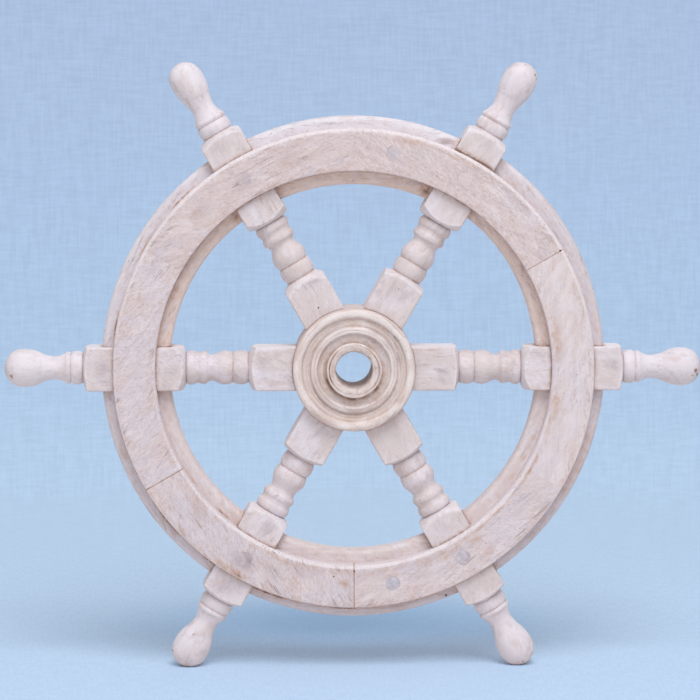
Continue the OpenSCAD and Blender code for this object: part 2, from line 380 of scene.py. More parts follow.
# mesh building blocks
def smooth(value):  # 0 up to 0, 1 from 1 on, soft in between
    share = np.clip(value, 0, 1)
    return share ** 2 * (3 - 2 * share)


def blend(start, end, share):
    return start + (end - start) * share


def uneven(points, size, height, seed):  # slow waviness of hand work, one value per point
    spots = np.asarray(points) / size + 17.3 * seed
    return height * np.array([noise.noise(Vector(spot)) for spot in spots])


def ownGrain(along, across, depth, seed):  # each seed shows another part of the wood
    return np.stack([along + 1.37 * seed, across + 0.71 * seed, depth + 0.29 * seed], axis=1)


def boardGrain(points, heading, seed, centre=(0.0, 0.0)):  # along the grain, across it, into the board
    x = points[:, 0] - centre[0]
    z = points[:, 2] - centre[1]
    along = x * math.cos(heading) + z * math.sin(heading)
    across = z * math.cos(heading) - x * math.sin(heading)
    return ownGrain(along, across, points[:, 1], seed)


def tubeFaces(rows, columns, closed=False):  # quads of a skin whose rows are closed loops
    faces = []
    for row in range(rows if closed else rows - 1):
        upper = (row + 1) % rows
        for column in range(columns):
            right = (column + 1) % columns
            faces.append((row * columns + column, row * columns + right,
                          upper * columns + right, upper * columns + column))
    return faces


def closedTube(rows, columns):  # the same with both ends closed
    ends = [tuple(range(columns)), tuple(reversed(range((rows - 1) * columns, rows * columns)))]
    return tubeFaces(rows, columns) + ends


def shifted(faces, first):  # the same faces on points that start later
    return [tuple(first + corner for corner in face) for face in faces]


def makePiece(name, points, faces, coats, material, nodes, body="wheel", sharp=38):
    mesh = bpy.data.meshes.new(name)
    mesh.from_pydata(points, [], faces)
    for coatName, values in coats.items():
        vector = values.ndim == 2
        layer = mesh.attributes.new(coatName, "FLOAT_VECTOR" if vector else "FLOAT", "POINT")
        layer.data.foreach_set("vector" if vector else "value", values.astype(np.float32).ravel())
    skin = bmesh.new()
    skin.from_mesh(mesh)
    bmesh.ops.remove_doubles(skin, verts=skin.verts, dist=0.004 * mm)
    bmesh.ops.dissolve_degenerate(skin, edges=skin.edges, dist=0.002 * mm)
    bmesh.ops.recalc_face_normals(skin, faces=skin.faces)
    skin.to_mesh(mesh)
    skin.free()
    mesh.shade_smooth()
    mesh.set_sharp_from_angle(angle=math.radians(sharp))
    mesh.materials.append(material)
    piece = bpy.data.objects.new(name, mesh)
    bpy.context.scene.collection.objects.link(piece)
    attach(piece, body)
    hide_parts(*nodes)
    return piece


# the six spokes, square blanks turned between their blocks; places are distances from the axle
spokeShape = {
    "cornerEase": 1.6 * mm,   # rounding of the blank's long edges
    "endEase": 0.8 * mm,      # rounding where a face meets the turned shoulder
    "footEase": 0.4 * mm,     # rounding where a block stands on the hub
    "tenon": (10.0 * mm, 0.6 * mm),                # radius, and rounding of its end
    "grooveR": 12.9 * mm,     # bottom of the grooves
    "hubEnd": (92.0 * mm, 4.2 * mm, 9.4 * mm),     # groove, the shoulder's fall on a face and at a corner
    "rimStart": (146.3 * mm, 2.2 * mm, 8.4 * mm),
    "rimEnd": (236.2 * mm, 3.0 * mm, 7.0 * mm),
    "hubEndShare": (0.5, 0.6, 1.1, 0.75, 0.66, 0.66),   # of that fall, for each spoke
    "rimEndShare": (0.62, 1.05, 1.1, 0.62, 0.9, 0.9),
    "firstBead": (105.4 * mm, 14.9 * mm),          # where it ends, radius at its top
    "ballPeak": (112.6 * mm, 15.0 * mm),           # place and radius, as with the next ones
    "neck": (124.3 * mm, 11.4 * mm),
    "collarStart": (128.9 * mm, 14.1 * mm),
    "collarEnd": (133.5 * mm, 14.0 * mm),
    "collarTop": 14.6 * mm,
    "hollow": 0.35 * mm,      # dip between the collar and the next bead
    "rimBeadStart": (137.4 * mm, 13.6 * mm),
    "rimBeadR": 15.2 * mm,
    "handleBead": (246.9 * mm, 14.7 * mm),         # where it ends, radius at its top
    "underSkirt": 0.3 * mm,   # the skirt starts this much below the grooves
    "skirt": (249.2 * mm, 14.1 * mm),
    "skirtEnd": (251.7 * mm, 12.9 * mm),
    "gripNeck": (261.0 * mm, 10.1 * mm),
    "bulbRidge": (271.5 * mm, 12.2 * mm),
    "ridgeStep": 0.12 * mm,
    "bulbTop": (288.0 * mm, 15.9 * mm),
    "bulbShare": (1.05, 0.94, 0.93, 1.04, 1.0, 0.97),   # thickness of each bulb
    "stands": (5, 6),         # the wheel stands on these handles, which wore flat
    "standCut": 1.2 * mm,
    # chips: spoke, place in mm, degrees round the handle, size in mm
    "chips": ((1, 299.4, 106, 1.7), (1, 297.6, 117, 1.3), (1, 301.6, 128, 1.4), (2, 302.6, 70, 0.8),
              (2, 299.4, 142, 1.3), (2, 296.8, 152, 1.0), (4, 298.0, 62, 1.7), (5, 296.8, 158, 1.6),
              (5, 274.0, 112, 0.9), (6, 301.2, 100, 1.1)),
    # smears: spoke, then place, aside, length and width in mm, strength
    "smears": ((3, 84, -7.5, 2.6, 8, 0.6), (3, 226, 6, 6, 9, 0.4), (4, 80, 0, 2, 10, 0.3),
               (4, 72, 3, 3, 9, 0.2), (4, 157, 2, 6, 7, 0.3), (4, 219, 1, 6, 9, 0.5),
               (5, 222, 0, 6, 9, 0.6), (5, 158, 3, 7, 4, 0.35), (2, 78, 3, 8, 6, 0.25),
               (2, 228, -3, 5, 8, 0.25), (1, 227, 4, 6, 7, 0.4), (1, 80, -4, 5, 9, 0.2),
               (6, 160, -2, 6, 6, 0.25), (6, 70, 4, 8, 5, 0.2), (2, 284, 0, 16, 14, 0.12)),
    # darkening in the grooves: dirt and painted shade
    "grooveDarkening": 0.55,
    "hubJointDarkening": (0.25, 0.35, 0.3, 0.3, 0.8, 0.8),     # darkening in the joint of each spoke with the hub, strongest on the two lower spokes
    "rimDirt": (1.0, 2.4, 1.0, 0.9, 1.2, 1.0),       # and with the outer edge of the facing ring
    "dirtFade": 1.7 * mm,
    "edgeWear": 0.4,                                 # along the blank's long edges
    "handlePale": (0.0, 0.0, 0.0, 0.3, 0.05, 0.0),   # wash left on each handle
    "blockTopHighlight": 0.8,                                  # painted highlight: pale wash on the sides of blocks that face up
    "rough": (0.0, 0.1, 0.2, 0.5, 0.42, 0.2),        # fine scratches on the blocks of each spoke
    "handleRough": 0.35,                             # share of them on its handle
    "tone": (-0.4, 1.1, 0.6),                        # of blocks, of handles, and how far spokes differ
    "jointGap": 0.1 * mm,
    "waviness": 0.16 * mm,
}


def ofSpoke(key, number):
    return spokeShape[key][number - 1]


def blankRadius(cosine, sine):  # from the spoke's axis to the side of the square blank
    ease = spokeShape["cornerEase"]
    flat = blockHalf / np.maximum(np.abs(cosine), np.abs(sine))
    core = blockHalf - ease
    lean = core * (np.abs(cosine) + np.abs(sine))
    rounded = lean + np.sqrt(np.maximum(lean ** 2 - 2 * core ** 2 + ease ** 2, 0))
    inCorner = flat * np.minimum(np.abs(cosine), np.abs(sine)) > core
    return np.where(inCorner, rounded, flat)


def beadLine(start, end, foot, top, steps):  # a turned bead between two grooves
    line = []
    for share in np.linspace(0, 1, steps + 1)[1:]:
        across = abs(2 * share - 1)
        rise = max(1 - across ** 2.4, 0) ** 0.75
        darkening = spokeShape["grooveDarkening"] * across ** 9
        line.append((blend(start, end, share), blend(foot, top, rise), darkening, 0.15 * rise ** 8))
    return line


def sweepLine(start, end, power, steps, soilAndShade=0.0, wear=0.0):  # a plain curve; power sets how late it turns
    line = []
    for share in np.linspace(0, 1, steps + 1)[1:]:
        line.append((blend(start[0], end[0], share), blend(start[1], end[1], share ** power), soilAndShade, wear))
    return line


def innerTurning():
    shape = spokeShape
    groove = shape["grooveR"]
    hubGroove = shape["hubEnd"][0]
    beadEnd, beadTop = shape["firstBead"]
    line = [(hubGroove, groove, shape["grooveDarkening"], 0.0)]
    line += beadLine(hubGroove, beadEnd, groove, beadTop, 14)
    peak, peakR = shape["ballPeak"]
    for share in np.linspace(0, 1, 9)[1:]:
        rise = (1 - (1 - share) ** 2.2) ** 0.8
        line.append((blend(beadEnd, peak, share), blend(groove, peakR, rise), 0.5 * (1 - share) ** 6, 0.0))
    neck, neckR = shape["neck"]
    for share in np.linspace(0, 1, 14)[1:]:
        fall = (0.5 + 0.5 * math.cos(math.pi * share)) ** 0.85
        line.append((blend(peak, neck, share), blend(neckR, peakR, fall), 0.12 * share ** 4, 0.0))
    line += sweepLine(shape["neck"], shape["collarStart"], 2.0, 8, 0.12)
    end, endR = shape["collarEnd"]
    collar = beadLine(shape["collarStart"][0], end, endR, shape["collarTop"], 8)
    line += [(*point[:2], 0.05, 0.25) for point in collar]   # cleaner and more worn than a bead
    start, startR = shape["rimBeadStart"]
    for share in np.linspace(0, 1, 7)[1:]:
        dip = shape["hollow"] * math.sin(math.pi * share)
        line.append((blend(end, start, share), blend(startR, endR, 1 - share) - dip, 0.2, 0.0))
    line += beadLine(start, shape["rimStart"][0], groove, shape["rimBeadR"], 12)
    return line


def handleTurning():
    shape = spokeShape
    groove = shape["grooveR"]
    start = shape["rimEnd"][0]
    beadEnd, beadTop = shape["handleBead"]
    line = [(start, groove, shape["grooveDarkening"], 0.0)]
    line += beadLine(start, beadEnd, groove, beadTop, 14)
    skirtEnd, endR = shape["skirtEnd"]
    line += sweepLine((beadEnd, groove - shape["underSkirt"]), shape["skirt"], 0.55, 6, 0.12, 0.1)
    line += sweepLine(shape["skirt"], shape["skirtEnd"], 2.4, 6, 0.03, 0.1)
    neck, neckR = shape["gripNeck"]
    for share in np.linspace(0, 1, 13)[1:]:
        flare = (1 - share) ** 1.9
        line.append((blend(skirtEnd, neck, share), blend(neckR, endR, flare), 0.08 * (1 - share), 0.0))
    line += sweepLine(shape["gripNeck"], shape["bulbRidge"], 1.6, 9)
    top, topR = shape["bulbTop"]
    ridge, ridgeR = shape["bulbRidge"]
    reach = (top - ridge) / (1 - (ridgeR / topR) ** 2) ** (1 / 2.1)
    for share in np.linspace(0, 1, 15)[:-1]:
        away = (1 - share) * (top - ridge) / reach
        radius = topR * (1 - away ** 2.1) ** 0.5 + shape["ridgeStep"]
        line.append((blend(ridge, top, share), radius, 0.0, 0.0))
    for share in np.linspace(0, 1, 20)[:-1]:
        turn = math.sin(share * math.pi / 2)
        radius = topR * (1 - turn ** 2.3) ** 0.5
        line.append((blend(top, tipR, turn), radius, 0.3 * max(turn - 0.8, 0) / 0.2, 0.6 * turn ** 4))
    return line


def spokeRows(number, cosine, sine):  # each row holds place, radius, soil, wear and pale for every column
    shape = spokeShape
    blank = blankRadius(cosine, sine)
    groove, gap, endEase = shape["grooveR"], shape["jointGap"], shape["endEase"]
    rows = []

    def row(*values):
        values = list(values) + [0.0] * (5 - len(values))
        rows.append(np.stack([np.broadcast_to(np.asarray(value, float), cosine.shape) for value in values]))

    def onCircle(circle, radius):  # where a line beside the axis meets a circle round the axle
        return np.sqrt(circle ** 2 - (radius * cosine) ** 2)

    def ownEnd(end, share):  # a block's end with the fall that this spoke has there
        groovePlace, faceFall, cornerFall = end
        return groovePlace, faceFall * share, cornerFall * share

    def fallBack(end, radius):  # the turned shoulder of a block
        faceFall, cornerFall = end[1:]
        span = blockHalf - groove
        power = math.log(cornerFall / faceFall) / math.log((blockHalf * math.sqrt(2) - groove) / span)
        return faceFall * (np.maximum(radius - groove, 0) / span) ** power

    def shoulder(end, outwards):  # from the face over the edge to the groove, or back again
        sign = 1 if outwards else -1
        corner = end[0] - sign * fallBack(end, blank)
        below = blank - endEase
        second = end[0] - sign * fallBack(end, below)
        made = []
        for t in np.linspace(0, 1, 5):
            place = (1 - t) ** 2 * (corner - sign * endEase) + 2 * t * (1 - t) * corner + t ** 2 * second
            radius = (1 - t) ** 2 * blank + 2 * t * (1 - t) * blank + t ** 2 * below
            made.append((place, radius, 0.0, 0.35, 0.5))
        for t in np.linspace(0, 1, 8)[1:-1]:
            radius = blend(below, groove, t)
            made.append((end[0] - sign * fallBack(end, radius), radius, 0.5 * t ** 5, 0.0, 0.6 * (1 - t)))
        for values in made if outwards else reversed(made):
            row(*values)

    def face(start, end, shares, startSoil, endSoil):  # along the four faces of a block
        fade = shape["dirtFade"]
        for share in shares:
            place = blend(start, end, share)
            soilAndShade = startSoil * np.exp((start - place) / fade) + endSoil * np.exp((place - end) / fade)
            row(place, blank, soilAndShade, edgeWear)

    nearCorner = np.clip((np.minimum(np.abs(cosine), np.abs(sine)) - 0.66) / 0.04, 0, 1)
    edgeWear = shape["edgeWear"] * nearCorner
    tenonR, tenonEase = shape["tenon"]
    hubFace = hubR + gap
    foot = shape["footEase"]
    row(tenonEnd, tenonR - tenonEase)
    row(tenonEnd + tenonEase, tenonR)
    row(onCircle(hubFace, tenonR), tenonR)
    row(onCircle(hubFace, 0.5 * (blank + tenonR)), 0.5 * (blank + tenonR), 1.0)
    row(onCircle(hubFace, blank - foot), blank - foot, 1.0)
    hubEnd = ownEnd(shape["hubEnd"], ofSpoke("hubEndShare", number))
    faceEnd = hubEnd[0] - fallBack(hubEnd, blank) - endEase
    face(onCircle(hubFace, blank) + foot, faceEnd,
         (0, 0.02, 0.05, 0.1, 0.18, 0.3, 0.45, 0.6, 0.75, 0.88, 0.96), ofSpoke("hubJointDarkening", number), 0.0)
    shoulder(hubEnd, True)
    for values in innerTurning()[:-1]:
        row(*values)
    rimStart = shape["rimStart"]
    row(rimStart[0], groove, shape["grooveDarkening"])
    shoulder(rimStart, False)
    notchIn, notchOut = ringIn - gap, ringOut + gap
    faceStart = rimStart[0] + fallBack(rimStart, blank) + endEase
    face(faceStart, onCircle(notchIn, blank), (0.1, 0.3, 0.5, 0.7, 0.85, 0.93, 0.97, 1.0), 0.0, 1.0)
    floor = np.minimum(blank, felloeHalf / np.maximum(np.abs(sine), 1e-6))   # of the notch under the facings
    for share in (0, 0.15, 0.5, 0.85, 1):
        row(blend(onCircle(notchIn, floor), onCircle(notchOut, floor), share), floor, 1.0)
    rimEnd = ownEnd(shape["rimEnd"], ofSpoke("rimEndShare", number))
    faceEnd = rimEnd[0] - fallBack(rimEnd, blank) - endEase
    face(onCircle(notchOut, blank), faceEnd, (0, 0.02, 0.05, 0.1, 0.2, 0.35, 0.55, 0.75, 0.92),
         ofSpoke("rimDirt", number), 0.0)
    shoulder(rimEnd, True)
    neck, top = shape["gripNeck"][0], shape["bulbTop"][0]
    for place, radius, *coatings in handleTurning():
        thicker = (ofSpoke("bulbShare", number) - 1) * smooth((place - neck) / (top - neck))
        row(place, radius * (1 + thicker), *coatings)
    return rows


def makeSpoke(number):
    shape = spokeShape
    leans = [0, 0.125, 0.25, 0.375, felloeHalf / blockHalf, 0.65, 0.77, 0.86, 0.92, 0.945, 0.965, 0.985]
    octant = [math.atan(lean) for lean in leans]   # columns stand closer towards the corners of the blank
    quarter = octant + [math.pi / 4] + [math.pi / 2 - tilt for tilt in reversed(octant[1:])]
    turn = np.array([tilt + k * math.pi / 2 for k in range(4) for tilt in quarter])
    cosine, sine = np.cos(turn), np.sin(turn)
    rows = np.array(spokeRows(number, cosine, sine))
    place, radius, soilAndShade, wear, paleAndHighlight = (rows[:, k, :].ravel() for k in range(5))
    columns = len(turn)
    turn = np.tile(turn, len(rows))
    aside = radius * np.tile(cosine, len(rows))
    level = radius * np.tile(sine, len(rows))
    local = np.stack([place, aside, level], axis=1)

    # uneven where nothing else touches the spoke
    swell = 1 + uneven(local, 24 * mm, shape["waviness"], number) / np.maximum(radius, 5 * mm)
    free = (place > hubR + 3 * mm) & ~((place > ringIn - 6 * mm) & (place < ringOut + 3 * mm))
    swell = np.where(free, swell, 1.0)
    aside, level = aside * swell, level * swell

    # dirt where a block stands on the felloes
    reach = np.hypot(place, aside)
    onSide = np.abs(aside) > blockHalf - 0.4 * mm
    inRim = (reach > felloeIn - 4 * mm) & (reach < felloeOut + 4 * mm)
    rise = np.maximum(np.abs(level) - felloeHalf, 0)
    out = np.maximum(np.maximum(felloeIn - reach, reach - felloeOut), 0)
    soilAndShade = np.maximum(soilAndShade, np.where(onSide & inRim, np.exp(-(rise + out) / (1.6 * mm)), 0))

    angle = (number - 1) * pitch
    # painted highlight: block sides that face up get pale wash
    facesUp = np.clip(np.sign(aside) * math.cos(angle), 0, 1)
    paleAndHighlight = np.maximum(paleAndHighlight, np.where(onSide, shape["blockTopHighlight"] * facesUp, 0))

    # soft smears on the front
    grimeAndShade = np.zeros(len(place))
    for spoke, along, across, length, width, strength in shape["smears"]:
        if spoke == number:
            away = ((place / mm - along) / length) ** 2 + ((aside / mm - across) / width) ** 2
            grimeAndShade = np.maximum(grimeAndShade, np.where(level > 0, strength * np.exp(-away), 0))

    # chipped ends of the handles
    ragged = 1 + 0.9 * uneven(local, 2.5 * mm, 1.0, number + 40)
    for spoke, along, turned, size in shape["chips"]:
        if spoke == number:
            far = np.abs(place - along * mm) + 9 * mm * np.abs(turn - math.radians(turned))
            away = np.linalg.norm(local - local[np.argmin(far)], axis=1)
            soilAndShade = np.maximum(soilAndShade, 1.4 * np.exp(-(away * ragged / (size * mm)) ** 4))

    def capped(values, first=0.0, last=0.0):  # adds the two points that close the ends
        return np.append(values, (first, last))

    place, aside, level = capped(place, tenonEnd, tipR), capped(aside), capped(level)
    x = place * math.cos(angle) - aside * math.sin(angle)
    z = place * math.sin(angle) + aside * math.cos(angle)
    if number in shape["stands"]:
        z = np.maximum(z, floorLevel + shape["standCut"])
    points = np.stack([x, -level, z], axis=1)
    faces = tubeFaces(len(rows), columns)
    first, last, final = len(points) - 2, len(points) - 1, (len(rows) - 1) * columns
    for column in range(columns):
        right = (column + 1) % columns
        faces.append((first, right, column))
        faces.append((last, final + column, final + right))
    onHandle = place > shape["rimEnd"][0]
    blockTone, handleTone, toneSpread = shape["tone"]
    ownTone = toneSpread * noise.noise(Vector((number * 3.1, 0.2, 0.7)))
    coats = {
        "grain": ownGrain(place, aside, level, number),
        "soilAndShade": capped(soilAndShade, 0.0, 0.3),
        "wear": capped(wear, 0.0, 0.5),
        "tone": np.where(onHandle, handleTone, blockTone) + ownTone,
        "paleAndHighlight": np.maximum(capped(paleAndHighlight), ofSpoke("handlePale", number) * onHandle),
        "grimeAndShade": capped(grimeAndShade),
        "rough": ofSpoke("rough", number) * np.where(onHandle, shape["handleRough"], 1.0),
    }
    return makePiece(f"turnedSpoke{number}", points, faces, coats,
                     turnedWood, [f"spoke_{number}"])


for number in range(1, spokeCount + 1):
    makeSpoke(number)
print("spokes turned")


# rounded corner of a section, from one wall to the next
def cornerArc(centre, radius, startAngle, endAngle, steps, soilAndShade=0.0, wear=0.0, paleAndHighlight=0.0):
    arc = []
    for angle in np.linspace(startAngle, endAngle, steps):
        reach = centre[0] + radius * math.cos(angle)
        level = centre[1] + radius * math.sin(angle)
        arc.append((reach, level, soilAndShade, wear, paleAndHighlight))
    return arc


def plain(*points):  # section points without pale wash
    return [(*point, 0.0) for point in points]


# a board sawn to a piece of the rim: a section swept round the axle, with a cut at both ends
def sweepBoard(section, startOf, endOf, cuts, steps=45):
    section = np.array(section)
    columns = len(section)
    stations = [(0, away) for away in cuts]
    stations += [(share, 0) for share in np.linspace(0, 1, steps + 1)[1:-1]]
    stations += [(1, -away) for away in reversed(cuts)]
    points, coats, ends = [], [], []
    for share, away in stations:
        for reach, level, *coatings in section:
            low, high = startOf(reach), endOf(reach)
            first, last = low + cuts[-1] / reach, high - cuts[-1] / reach
            if share in (0, 1):
                angle = (high if share else low) + away / reach
            else:
                angle = blend(first, last, share)
            points.append((reach, level, angle))
            coats.append(coatings)
            ends.append(min(angle - low, high - angle) * reach)
    return np.array(points), closedTube(len(stations), columns), np.array(coats).T, np.array(ends)


def standUp(polar, centre=0.0):  # radius, level and angle to a point of the standing wheel
    angle = polar[:, 2] + centre
    return np.stack([polar[:, 0] * np.cos(angle), -polar[:, 1], polar[:, 0] * np.sin(angle)], axis=1)


def facesDown(polar, angle):  # 1 where an edge of the rim faces down, 0 where it faces up
    lean = np.sin(polar[:, 2] + angle) * np.sign(ringMiddle - polar[:, 0])
    start, full = ringShape["downSpan"]
    return smooth((lean - start) / (full - start))


def roundTheRim(values, turn):  # values given at each spoke, blended in between
    return np.interp(turn, np.arange(spokeCount) * pitch, values, period=2 * math.pi)


# facing rings, six boards each: edges that face up are worn round and carry a painted highlight, those that
# face down stayed sharp
ringShape = {
    "edgeR": (2.8 * mm, 1.2 * mm),    # facing up, then down
    "quirk": (0.3 * mm, 0.05 * mm),   # fine step beside the flat, likewise
    "cuts": (0, 0.3 * mm, 0.7 * mm, 1.6 * mm, 3.5 * mm),   # points near a board's ends
    "outerEdgeHighlight": (0.35, 0.75, 0.75, 0.3, 0.0, 0.0),   # painted highlight on the outer edge at each spoke, blended between, strong where that edge faces up
    "innerEdgeHighlight": (0.15, 0.0, 0.0, 0.05, 0.75, 0.9),   # and on the inner edge
    "tone": (-0.4, -1.3, -1.0, 0.6, 0.3, 0.0),        # likewise; below zero warmer, above it cooler
    "rough": (0.1, 0.9, 0.6, 0.75, 0.8, 0.65),        # fine scratches of each board
    "chalked": (0.28, 0.0, 0.0, 0.08, 0.0, 0.12),     # wash over the whole of each board
    "downSpan": (-0.3, 0.4),          # lean from which an edge starts to face down, and does so fully
    "upEdgeShadeCut": 0.75,                # share of the dirt and painted shade that is taken from edges facing up; on edges facing down it stays as painted shade
    "seamHalf": 0.1 * mm,
    "seamEase": (0.15 * mm, 0.6 * mm),   # depth and width
    "seamFade": 0.45 * mm,
    "seamDirt": (0.8, 0.12, 0.1, 0.95, 0.95, 0.1),    # from the seam after spoke 1 onwards
    "skew": (0, 6, -4, -38, -28, 10),  # how far each board's grain leaves its chord, in degrees
    # soft grey smears and brown marks: degrees, then distance from the axle, length and width in mm, strength
    "smears": ((134, 192, 10, 6, 0.3), (107, 193, 10, 5, 0.22), (121, 186, 9, 7, 0.24),
               (151, 197, 13, 5, 0.14), (240, 195, 9, 6, 0.7), (247, 190, 9, 5, 0.24),
               (300, 184, 8, 5, 0.34), (222, 184, 10, 5, 0.22), (88, 189, 14, 6, 0.12),
               (60, 193, 10, 8, 0.2), (72, 195, 14, 6, 0.14), (288, 192, 12, 6, 0.14),
               (257, 180, 20, 5, 0.16), (274, 180, 22, 5, 0.18), (291, 180, 20, 5, 0.18),
               (304, 180, 14, 5, 0.14), (12, 180, 22, 6, 0.12), (347, 180, 18, 5, 0.1),
               (45, 204, 16, 5, 0.1)),
    "marks": ((236, 206, 9, 3, 0.5), (240.5, 206, 7, 2.5, 1.1), (267.5, 188, 5, 4, 0.75),
              (296, 184, 9, 3, 0.45), (305, 184, 9, 4, 0.5), (135, 194, 6, 4, 0.4),
              (108, 188, 7, 4, 0.3), (76, 203, 9, 2, 0.5), (44, 188, 3, 2, 0.4), (39, 191, 3, 2, 0.4),
              (165, 190, 9, 2, 0.25), (206, 178, 6, 3, 0.25), (222, 205, 12, 2.5, 0.4),
              (338, 205, 8, 3, 0.25), (12, 177, 8, 3, 0.3), (350, 179, 22, 5, 0.4),
              (8, 179, 22, 5, 0.44), (343, 177, 9, 3, 0.4), (252, 179.5, 14, 1.6, 0.4),
              (266, 179, 10, 1.6, 0.45), (290, 181, 12, 3, 0.4), (280, 179.5, 10, 1.6, 0.35),
              (60, 204, 30, 4, 0.3), (75, 204, 15, 4, 0.42), (258, 178, 16, 3, 0.4),
              (274, 180, 20, 4, 0.3), (298, 180, 16, 4, 0.32), (312, 176.9, 30, 1, 0.6),
              (330, 176.9, 25, 1, 0.7), (64.4, 209.6, 4, 0.5, 1.3), (59, 209.6, 9, 0.4, 1.1)),
    "waviness": 0.22 * mm,
}


def boardWave(polar, seed):  # how a board's face lies against its full height, zero or less
    return uneven(standUp(polar), 42 * mm, ringShape["waviness"], seed) - ringShape["waviness"]


def boardHeading(number):  # direction of a facing board's grain and the middle of the board
    angle = (number - 1) * pitch
    heading = angle + math.pi / 2 + math.radians(ringShape["skew"][number - 1])
    return heading, (ringMiddle * math.cos(angle), ringMiddle * math.sin(angle))


def placedMarks(polar, angle, marks):  # how strong the marks are that lie at given places of the front
    strength = np.zeros(len(polar))
    for degrees, reach, length, width, dark in marks:
        turn = (polar[:, 2] + angle - math.radians(degrees) + math.pi) % (2 * math.pi) - math.pi
        along = turn * polar[:, 0] / (length * mm)
        across = (polar[:, 0] - reach * mm) / (width * mm)
        strength = np.maximum(strength, dark * np.exp(-along ** 2 - across ** 2))
    return np.where(polar[:, 1] > 0, strength, 0)


def ringSection(edge, quirk):
    base, top = felloeHalf, ringFront
    inner, outer = ringIn + edge, ringOut - edge
    quarter = math.pi / 2
    wall = [(0.0, 0.7), (0.8 * mm, 0.45), (2.2 * mm, 0.15), (5 * mm, 0.03)]   # height, and dirt in the joint with painted shade at the foot of the wall
    # beside the rounded edges: distance, step, dirt and wear
    brink = [(0.15 * mm, -0.9 * quirk, 0.15, 0.45), (0.5 * mm, 0, 0.1, 0.55),
             (1.6 * mm, 0, 0, 0.5), (4 * mm, 0, 0, 0.25)]
    section = [(ringIn, base + rise, soilAndShade, 0, 0.5) for rise, soilAndShade in wall]
    section += cornerArc((inner, top - quirk - edge), edge, math.pi, quarter, 9, 0.0, 0.1, 1.0)
    section += plain(*[(inner + away, top + drop, soilAndShade, wear) for away, drop, soilAndShade, wear in brink])
    section += plain(*[(blend(inner, outer, share), top, 0, 0) for share in np.linspace(0.2, 0.8, 10)])
    section += plain(*[(outer - away, top + drop, soilAndShade, wear) for away, drop, soilAndShade, wear in reversed(brink)])
    section += cornerArc((outer, top - quirk - edge), edge, quarter, 0, 9, 0.0, 0.1, 1.0)
    section += [(ringOut, base + rise, soilAndShade, 0, 0.5) for rise, soilAndShade in reversed(wall)]
    section += plain(*[(blend(ringOut, ringIn, share), base, 1.0, 0) for share in (0.3, 0.7)])
    return section


def makeRingBoard(number, front):
    shape = ringShape
    half = pitch / 2
    seamBefore, seamAfter = shape["seamDirt"][number - 2], shape["seamDirt"][number - 1]
    lowGap, highGap = shape["seamHalf"] * seamBefore, shape["seamHalf"] * seamAfter
    worn, sharp = [sweepBoard(ringSection(edge, quirk), lambda reach: lowGap / reach - half,
                              lambda reach: half - highGap / reach, shape["cuts"])
                   for edge, quirk in zip(shape["edgeR"], shape["quirk"])]
    polar, faces, (soilAndShade, wear, paleAndHighlight), ends = worn
    angle = (number - 1) * pitch
    down = facesDown(polar, angle)
    polar += (sharp[0] - polar) * down[:, None]
    # painted shade: the dark at the edges stays where they face down
    soilAndShade = soilAndShade * (1 - shape["upEdgeShadeCut"] * (1 - down))
    turn = polar[:, 2] + angle
    inside = polar[:, 0] < ringMiddle
    # painted highlight on the rounded edges, strong where they face up
    highlightShare = np.where(inside, roundTheRim(shape["innerEdgeHighlight"], turn), roundTheRim(shape["outerEdgeHighlight"], turn))
    paleAndHighlight = np.maximum(paleAndHighlight * highlightShare, shape["chalked"][number - 1])
    seed = number + (0 if front else 20)   # the back boards show other wood
    seamDirt = np.where(polar[:, 2] < 0, seamBefore, seamAfter)
    easeDepth, easeWidth = shape["seamEase"]
    drop = easeDepth * seamDirt * np.clip(1 - ends / easeWidth, 0, 1)
    raised = polar[:, 1] > felloeHalf + 3 * mm   # the face and its edges
    polar[:, 1] += np.where(raised, boardWave(polar, seed) - drop, 0)
    soilAndShade = np.maximum(soilAndShade, seamDirt * np.exp(-ends / shape["seamFade"]))
    grimeAndShade = placedMarks(polar, angle, shape["smears"])
    if front:
        soilAndShade = np.maximum(soilAndShade, placedMarks(polar, angle, shape["marks"]))
    else:
        polar[:, 1] *= -1
    points = standUp(polar, angle)
    heading, middle = boardHeading(number)
    coats = {
        "grain": boardGrain(points, heading, seed, middle),
        "soilAndShade": soilAndShade,
        "wear": wear,
        "paleAndHighlight": paleAndHighlight,
        "tone": roundTheRim(shape["tone"], turn),
        "grimeAndShade": grimeAndShade,
        "rough": np.full(len(points), shape["rough"][number - 1]),
    }
    side = "front" if front else "back"
    return makePiece(f"{side}Facing{number}", points, faces, coats,
                     facingWood, [f"{side}_rim_segment_{number}"])


for number in range(1, spokeCount + 1):
    makeRingBoard(number, True)
    makeRingBoard(number, False)
print("facing rings laid")


